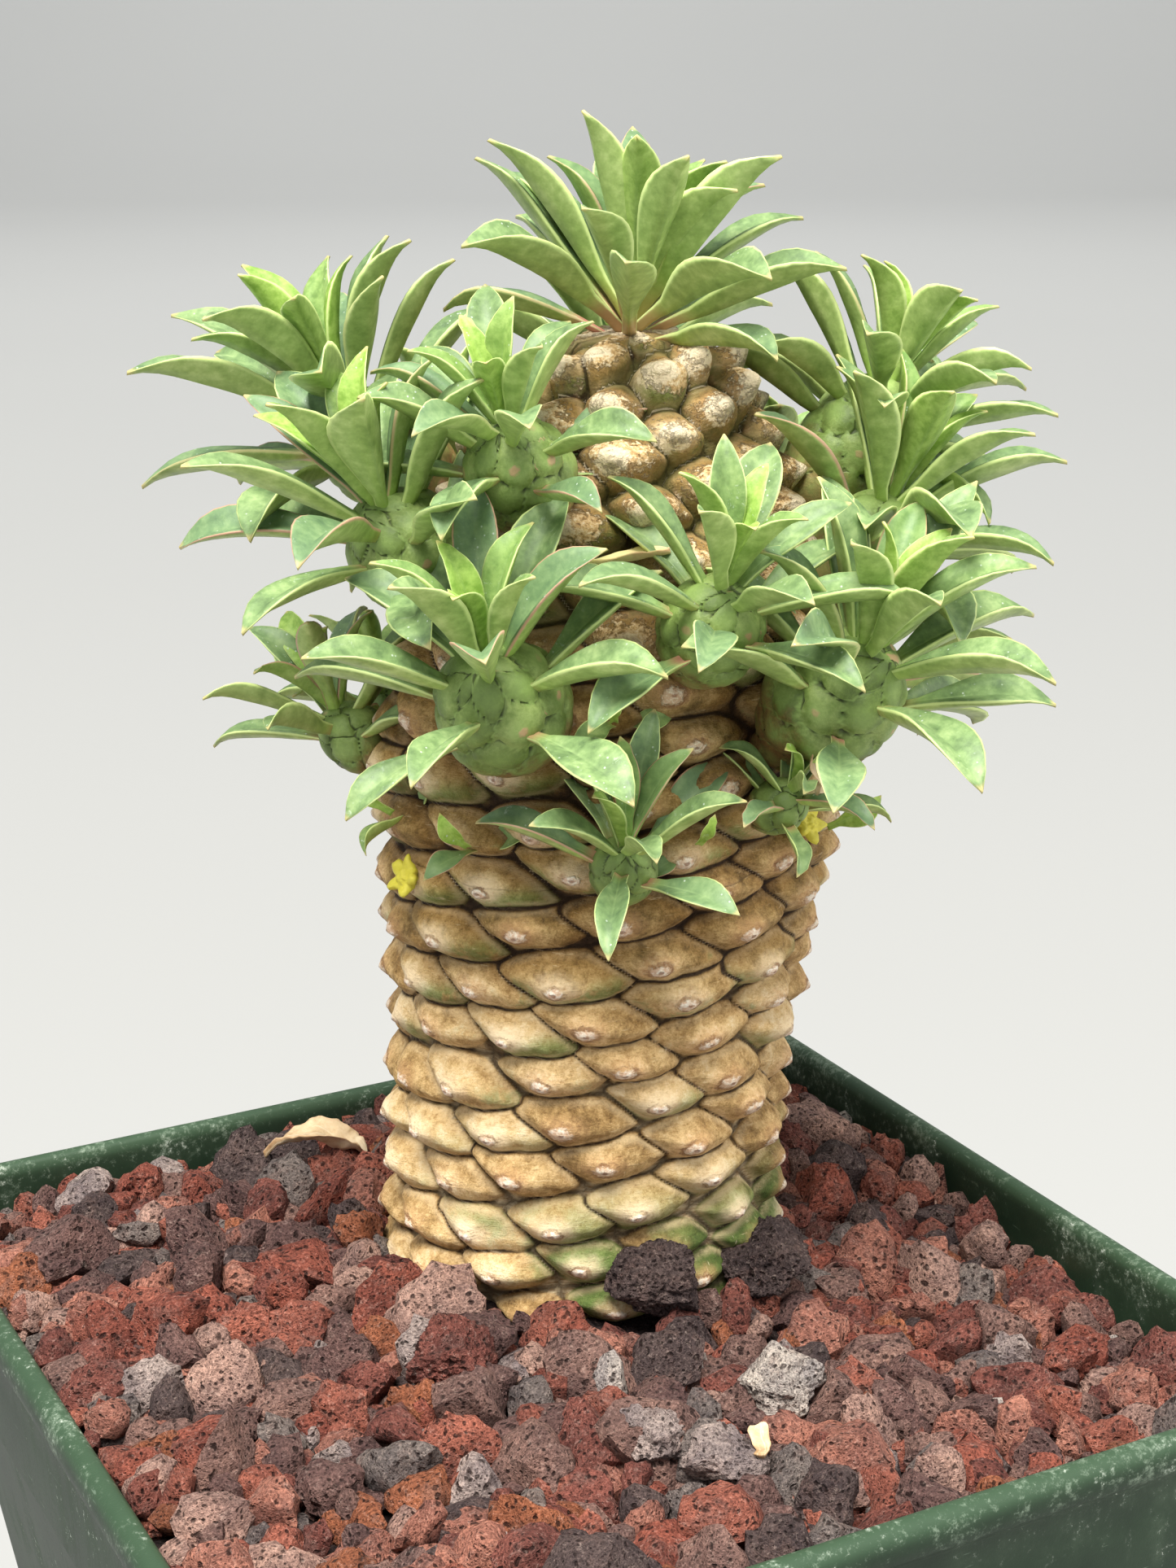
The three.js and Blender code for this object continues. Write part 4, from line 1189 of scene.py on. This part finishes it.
def build_pot(look):
    rings = [square_ring(half, corner, z) for z, half, corner in POT_OUTSIDE + POT_INSIDE]
    size = len(rings[0])
    points = np.array([p for ring in rings for p in ring])
    sag = np.clip(-points[:, 2] / 60, 0, 1)
    points[:, :2] += 0.12 * value_noise(points, 40.0, 5)[:, None] * (1 - sag)[:, None]
    points = np.vstack([points, [[0, 0, -POT_TALL], [0, 0, POT_FLOOR - POT_TALL]]])
    faces = closed_rings(len(rings), size)
    pot = link("nursery_pot", mesh_of("nursery_pot", points, faces), look)
    reach = BASE_HALF - DRAIN_INSET
    half = DRAIN_HOLE / 2 * MM
    cutters = bmesh.new()
    for x, y in ((1, 1), (-1, 1), (-1, -1), (1, -1)):
        place = Matrix.Translation((reach * x * MM, reach * y * MM, 0))
        bmesh.ops.create_cone(
            cutters, cap_ends=True, segments=32, radius1=half, radius2=half,
            depth=DRILL_LENGTH * MM, matrix=place,
        )
    mesh = bpy.data.meshes.new("drill")
    cutters.to_mesh(mesh)
    cutters.free()
    drill = bpy.data.objects.new("drill", mesh)
    bpy.context.scene.collection.objects.link(drill)
    drains = pot.modifiers.new("drains", "BOOLEAN")
    drains.object = drill
    drains.operation = "DIFFERENCE"
    drains.solver = "EXACT"
    graph = bpy.context.evaluated_depsgraph_get()
    graph.update()
    bored = bpy.data.meshes.new_from_object(pot.evaluated_get(graph))
    pot.modifiers.clear()
    pot.data = bored
    bpy.data.objects.remove(drill)
    bored.set_sharp_from_angle(angle=math.radians(40))
    give(pot, "pot_plastic", "pot")


# ---- Gravel ----

GRAVEL_BELOW_RIM = 4.0
GRAVEL_SLOPE = 2.3
GRAVEL_MOUND = 9.0
GRAVEL_MOUND_REACH = 34.0
SHEET_STEPS = 60
SHEET_CORNER = 9.0
INNER_HALF = 60.2  # the pot's inside, where the top layer of stones lies
INNER_CORNER = 9.4
# name, half of the sheet, hole round the stem, drop, spacing, sizes, detail, seed
GRAVEL_LAYERS = [
    ("lava_grit", 60.0, 23.5, 1.6, 3.3, 2.6, 6.0, 2, 5),
    ("lava_pebbles", 58.5, 25.0, 0.8, 4.5, 4.4, 7.8, 2, 31),
    ("lava_stones", 57.0, 25.5, 0.3, 5.8, 7.0, 12.0, 3, 45),
]
BED_DROP = 3.2  # from the bed's height down to the dark sheet of painted shade under the stones
MIX_LEVEL = -31.7


def bed_height(x, y):
    u, v = x / RIM_HALF, y / RIM_HALF
    away = np.hypot(x - STEM_FOOT[0], y - STEM_FOOT[1])
    mound = GRAVEL_MOUND * np.exp(-((away / GRAVEL_MOUND_REACH) ** 2))
    level = np.minimum(GRAVEL_SLOPE * (u * v - u), GRAVEL_BELOW_RIM - 1)
    return level + mound - GRAVEL_BELOW_RIM


def bed_sheet(half, hole, drop):
    """An open sheet at the bed's height, with a hole round the stem, in plain millimetres."""
    line = np.linspace(-half, half, SHEET_STEPS)
    x, y = np.meshgrid(line, line)
    points = np.stack([x, y, bed_height(x, y) - drop], -1).reshape(-1, 3)
    from_stem = points[:, :2] - STEM_FOOT[:2]
    over = np.maximum(np.abs(points[:, :2]) - half + SHEET_CORNER, 0)
    left_out = np.hypot(*from_stem.T) < hole
    left_out |= np.hypot(*over.T) > SHEET_CORNER
    a = np.arange(SHEET_STEPS**2).reshape(SHEET_STEPS, SHEET_STEPS)
    quads = np.stack([a[:-1, :-1], a[:-1, 1:], a[1:, 1:], a[1:, :-1]], -1).reshape(-1, 4)
    faces = quads[~left_out[quads].any(1)].tolist()
    mesh = bpy.data.meshes.new("bed")
    mesh.from_pydata(points.tolist(), [], faces)
    mesh.update()
    return mesh


def gravel_tree(look):
    """Stones scattered over a sheet: each one a ball that six chance planes cut flat."""
    inputs = {"Spacing": 5.0, "Least size": 5.0, "Greatest size": 9.0, "Sink": 0.2}
    tree = Growth("gravel", look, {**inputs, "Detail": 2, "Seed": 1})
    given, chance, arrow, recall = tree.given, tree.chance, tree.arrow, tree.recall
    sockets = {
        "Mesh": given["Geometry"],
        "Distance Min": given["Spacing"],
        "Density Max": 0.5,
        "Seed": given["Seed"],
    }
    scatter = {"distribute_method": "POISSON"}
    spots = tree.add("GeometryNodeDistributePointsOnFaces", scatter, sockets)["Points"]
    share = chance(0.0, 1.0, 2)
    size = given["Least size"] + (given["Greatest size"] - given["Least size"]) * share * share
    here = tree.add("GeometryNodeInputPosition")[0]
    spots = tree.store(spots, "stone", tree.add("GeometryNodeInputIndex")[0])
    spots = tree.store(spots, "tone", chance(0.0, 1.0, 1))
    spots = tree.store(spots, "size", size)
    spots = tree.store(spots, "middle", here, "FLOAT_VECTOR")
    sockets = {"Radius": 1.0, "Subdivisions": given["Detail"]}
    ball = tree.add("GeometryNodeMeshIcoSphere", {}, sockets)["Mesh"]
    real = tree.copies(spots, tree.store(ball, "from_middle", here, "FLOAT_VECTOR"))

    stone = recall("stone")
    ray = recall("from_middle", "FLOAT_VECTOR")
    squash = tree.vector(
        chance(0.85, 1.25, 3, stone), chance(0.72, 1.0, 4, stone), chance(0.62, 0.88, 5, stone)
    )
    reach = 1.12
    for plane in range(6):
        facing = arrow(20 + plane, stone).unit()
        near = chance(0.52, 0.88, 40 + plane, stone)
        reach = (near / ray.dot(facing).most(0.08)).least(reach)
    rough = 1.0
    for weight, own, scale, detail in ((0.85, 3.7, 1.7, 2.0), (0.42, 1.3, 4.6, 1.0)):
        sockets = {"Vector": ray, "W": stone * own, "Scale": scale, "Detail": detail}
        sockets["Roughness"] = 0.6
        knobs = tree.add("ShaderNodeTexNoise", {"noise_dimensions": "4D"}, sockets)["Fac"]
        rough = rough + (knobs - 0.5) * weight
    where = ray * reach * rough * squash
    sockets = {"Vector": where, "Rotation": arrow(60, stone) * 3.1}
    turned = tree.add("ShaderNodeVectorRotate", {"rotation_type": "EULER_XYZ"}, sockets)[0]
    half = recall("size") * 0.5
    scaled = tree.add("ShaderNodeVectorMath", {"operation": "SCALE"}, {0: turned, "Scale": half})[0]
    lift = (chance(-0.5, 0.35, 6, stone) - given["Sink"]) * half
    place = recall("middle", "FLOAT_VECTOR") + scaled + tree.vector(0.0, 0.0, lift)
    drift = arrow(80, stone) * 60.0
    return tree.ended(tree.store(tree.moved(real, place), "drift", drift, "FLOAT_VECTOR"))


def kept_inside(mesh, half, corner):
    """Flattens the stones that reach past the pot's wall against it."""
    points = np.empty(len(mesh.vertices) * 3, np.float32)
    mesh.vertices.foreach_get("co", points)
    points = points.reshape(-1, 3)
    flat = np.clip(points[:, :2], -half, half)
    over = np.maximum(np.abs(flat) - (half - corner), 0)
    far = np.hypot(over[:, 0], over[:, 1])[:, None]
    pull = np.where(far > corner, corner / np.maximum(far, 0.001), 1.0)
    points[:, :2] = np.sign(flat) * (np.minimum(np.abs(flat), half - corner) + over * pull)
    mesh.vertices.foreach_set("co", points.ravel())


def build_gravel(look, shade_bed_look):
    group = gravel_tree(look)
    for name, half, hole, drop, spacing, least, greatest, detail, seed in GRAVEL_LAYERS:
        mesh = grown(
            group, name, bed_sheet(half, hole, drop),
            Spacing=spacing, Least_size=least, Greatest_size=greatest, Detail=detail, Seed=seed,
        )
        kept_inside(mesh, INNER_HALF, INNER_CORNER)
        piece = link(name, to_frame(mesh), look)
        piece.data.set_sharp_from_angle(angle=math.radians(32))
        give(piece, "lava_gravel", "gravel_bed")
    build_shade_bed(shade_bed_look)


def build_shade_bed(look):
    """Painted shade under the stones: a dark sheet in a shaded copy of the lava, closed down to the
    potting mix.
    """
    ring = np.array(square_ring(60.3, 9.3, 0.0))
    rings = [np.array(square_ring(56.2, 8.3, MIX_LEVEL))]
    for share in (1.0, 0.985, 0.95, 0.9, 0.83, 0.75, 0.66, 0.57, 0.48, 0.39, 0.3, 0.2, 0.1):
        r = ring * share
        r[:, 2] = bed_height(r[:, 0], r[:, 1]) - BED_DROP
        rings.append(r)
    points = np.vstack(rings)
    size = len(ring)
    points[size:, 2] += 0.7 * value_noise(points[size:], 5.0, 2)
    points = np.vstack([points, [[0, 0, MIX_LEVEL], [0, 0, bed_height(0.0, 0.0) - BED_DROP]]])
    attributes = {"tone": np.full(len(points), 0.6), "drift": np.zeros((len(points), 3))}
    faces = closed_rings(len(rings), size)
    add_piece("painted_shade_bed", "lava_gravel", "gravel_bed", look, points, faces, attributes)


# name, place, size, turn, slot, tone
STONES = [
    ("stone_1", (5.0, -14.0), 10.5, 20, "dark_lava", 0.6),
    ("stone_2", (20.0, -13.0), 10.5, 75, "dark_lava", 0.6),
    ("stone_3", (9.0, -33.0), 8.5, 140, "grey_lava", 0.99),
    ("stone_4", (-9.0, -36.0), 8.0, 250, "grey_lava", 0.96),
    ("stone_5", (-4.0, -43.0), 8.0, 310, "grey_lava", 0.97),
    ("stone_6", (-22.0, -15.0), 10.0, 190, "lava_gravel", 0.3),
]


STONE_PROUD = 0.3  # a stone's middle over the bed, as a share of its size


def ball(detail):
    made = bmesh.new()
    bmesh.ops.create_icosphere(made, subdivisions=detail, radius=1.0)
    made.verts.ensure_lookup_table()
    points = np.array([v.co[:] for v in made.verts])
    faces = [[v.index for v in f.verts] for f in made.faces]
    made.free()
    return points, faces


def build_stone(name, place, size, turn, slot, tone, look):
    rays, faces = ball(6 if size > 9 else 5)
    reach = np.full(len(rays), 1.12)
    for plane in range(9):
        facing = np.array([hashed(turn, plane, s) - 0.5 for s in (1, 2, 3)])
        facing /= np.linalg.norm(facing)
        near = 0.62 + 0.3 * hashed(turn, plane, 7)
        reach = np.minimum(reach, near / np.maximum(rays @ facing, 0.08))
    points = rays * reach[:, None]
    points *= 1 + 0.13 * layered(rays * 4 + turn, 2.2, 5, turn)[:, None]
    for count, deep, wide, seed in ((5.5, 0.13, 0.46, turn), (11.0, 0.06, 0.44, turn + 5)):
        pits = np.clip(1 - cell_gap(points * count, 1.0, seed) / wide, 0, 1)
        points *= (1 - deep * pits**0.6)[:, None]
    points *= np.array([1.08, 0.95, 0.8]) * size / 2
    spin = np.array(Matrix.Rotation(math.radians(turn), 3, "Z"))
    points = points @ spin.T
    x, y = place
    points += [x, y, float(bed_height(x, y)) + STONE_PROUD * size]
    count = len(points)
    attributes = {"tone": np.full(count, tone), "drift": np.full((count, 3), float(turn))}
    add_piece(f"{name}_lava", slot, name, look, points, faces, attributes)


# ---- Small things ----

# name, bearing, height
FLOWERS = [("flower_1", 189, 50), ("flower_2", 296, 56)]
FLOWER_SIZE = 2.6
FLOWER_TILT = 70

# name, bearing and height and lift off the stem, length, points to, droop, curl
LOOSE_LEAVES = [
    ("dying_leaf", (232, 88, 4.0), 9.0, 335, 92, -20),
    ("withered_leaf", (283, 70, 6.5), 8.0, 300, 150, 40),
]

# name, place, length, bearing
FALLEN_LEAVES = [
    ("fallen_leaf_1", (-20.0, 45.0), 15.0, 340),
    ("fallen_leaf_2", (-1.0, -46.0), 7.0, 65),
]


def build_flower(name, bearing, height, look):
    around = 60
    profile = [
        (0.0, 0.10), (0.12, 0.24), (0.6, 0.27), (0.85, 0.42), (1.0, 0.60), (1.12, 0.74), (1.26, 0.80),
        (1.38, 0.74), (1.42, 0.60), (1.36, 0.46), (1.34, 0.34), (1.46, 0.26), (1.52, 0.16), (1.5, 0.06),
    ]
    turn = np.radians(np.arange(around) * 360 / around)
    rings = []
    for up, out in profile:
        lobes = 1 + 0.20 * np.cos(5 * turn) * max(0.0, min(1.0, (up - 0.8) / 0.35)) * (out / 0.8)
        lobes = lobes + 0.09 * np.cos(8 * turn + 4 * up) + 0.05 * np.cos(15 * turn + 4 * up)
        r = out * lobes * FLOWER_SIZE
        z = (up + 0.10 * np.cos(5 * turn) * (out > 0.5)) * FLOWER_SIZE
        rings.append(np.stack([r * np.cos(turn), r * np.sin(turn), z], -1))
    points = np.vstack([*rings, [[0, 0, 0], [0, 0, 1.46 * FLOWER_SIZE]]])
    level = np.append(np.repeat([up / 1.5 for up, _ in profile], around), [0.0, 0.9])
    points = stood(points, standing(on_stem(bearing, height, -0.5), bearing, FLOWER_TILT))
    faces = closed_rings(len(profile), around)
    add_piece(f"{name}_cup", "flower", name, look, points, faces, {"level": level})


DRY_WIDTH = 0.34  # of a loose leaf's length


def blade(base, around, angle, curl, length, wide, crumple, seed):
    """One leaf off its shoot, crumpled as much as it has dried."""
    ring, along = 20, 40
    t = np.linspace(0, 1, along)
    w = np.arange(ring) * 2 * np.pi / ring
    tt, ww = np.meshgrid(t, w, indexing="ij")
    across, side = np.cos(ww), np.sin(ww)
    bend = angle + curl * tt
    up = length / curl * (np.sin(bend) - np.sin(angle))
    out = length / curl * (np.cos(angle) - np.cos(bend))
    shape = np.maximum(np.sin(np.pi * tt**1.5), 0) ** 0.8
    half = np.maximum(wide * shape, 0.9) / 2 * np.clip((1.0 - tt) / 0.05, 0.1, 1)
    off = side * 0.32 + half * 0.5 * np.abs(across) ** 1.5
    lateral = half * across
    points = np.stack([out - off * np.cos(bend), lateral, up + off * np.sin(bend)], -1)
    points = points.reshape(-1, 3)
    ends = points[:ring].mean(0), points[-ring:].mean(0)
    points = np.vstack([points, ends])
    points += crumple * np.stack([layered(points + 9 * k, 3.5, 3, seed + k) for k in range(3)], -1)
    c, s = math.cos(around), math.sin(around)
    spin = np.array([[c, -s, 0], [s, c, 0], [0, 0, 1]])
    points = points @ spin.T + base
    attributes = {
        "across": np.append(across.ravel(), [0, 0]),
        "along": np.append(tt.ravel(), [0, 1]),
    }
    return points, closed_rings(along, ring), attributes


def build_loose_leaves(yellow, withered):
    for name, (bearing, height, lift), length, points_to, droop, curl in LOOSE_LEAVES:
        look, crumple = (yellow, 0.25) if name == "dying_leaf" else (withered, 0.8)
        made = blade(
            on_stem(bearing, height, lift), math.radians(points_to), math.radians(droop),
            math.radians(curl), length, DRY_WIDTH * length, crumple, int(bearing),
        )
        add_piece(f"{name}_blade", name, name, look, *made)
    for name, (x, y), length, bearing in FALLEN_LEAVES:
        made = blade(
            np.array([x, y, float(bed_height(x, y)) + 4.0]), math.radians(bearing),
            math.radians(60), math.radians(75), length, DRY_WIDTH * length, 0.9, int(length),
        )
        add_piece(f"{name}_blade", "withered_leaf", name, withered, *made)


# ---- Making it all ----


def set_studio():
    world = bpy.data.worlds.new("studio")
    bpy.context.scene.world = world
    world.use_nodes = True
    back = world.node_tree.nodes["Background"]
    back.inputs["Color"].default_value = (*WORLD_COLOUR, 1.0)
    back.inputs["Strength"].default_value = WORLD_STRENGTH
    for lamp in LIGHTS:
        area_light(*lamp)
    bpy.context.scene.view_settings.view_transform = "Standard"
    arc = [(FLOOR_FRONT, 0.0)]
    for a in np.linspace(0, 1.5, 12):
        arc.append((FLOOR_BACK + SWEEP * math.sin(a), SWEEP - SWEEP * math.cos(a)))
    arc.append((FLOOR_BACK + 1.65, 4.0))
    points = [(x, y, z) for y, z in arc for x in (-FLOOR_HALF, FLOOR_HALF)]
    faces = [(2 * i, 2 * i + 1, 2 * i + 3, 2 * i + 2) for i in range(len(arc) - 1)]
    mesh = bpy.data.meshes.new("studio_floor")
    spin = Matrix.Rotation(math.radians(FLOOR_TURN), 4, "Z")
    mesh.from_pydata([tuple(spin @ Vector(p)) for p in points], [], faces)
    floor = link("studio_floor", mesh, studio_look("studio_paper", paint(*PAPER)))


make_camera()
set_studio()
bark = bark_look()
leaf = leaf_look("leaf_skin", (1.0, 1.0, 1.0), 0.0)
young = leaf_look("young_leaf_skin", (1.0, 0.98, 0.9), 0.15)
lava = gravel_look("red_lava", (1.0, 1.0, 1.0))
build_stem(bark)
build_shoots(body_look(), leaf, young)
build_pot(pot_look())
# lava_shade is a shaded copy of the lava, for the painted shade under the stones
build_gravel(lava, gravel_look("lava_shade", (0.35, 0.33, 0.33)))
for stone in STONES:
    build_stone(*stone, lava)
for flower in FLOWERS:
    build_flower(*flower, flower_look())
build_loose_leaves(
    dry_leaf_look(
        "dying_leaf",
        [(0.2, (0.62, 0.66, 0.20)), (0.5, (0.86, 0.76, 0.36)), (0.8, (0.72, 0.36, 0.24))],
        (0.92, 0.84, 0.55),
    ),
    dry_leaf_look(
        "withered_leaf",
        [(0.25, (0.30, 0.17, 0.07)), (0.5, (0.62, 0.46, 0.27)), (0.8, (0.82, 0.70, 0.50))],
        (0.86, 0.76, 0.58),
    ),
)
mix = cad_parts["potting_mix"]
mix.data.materials.clear()
mix.data.materials.append(soil_look())
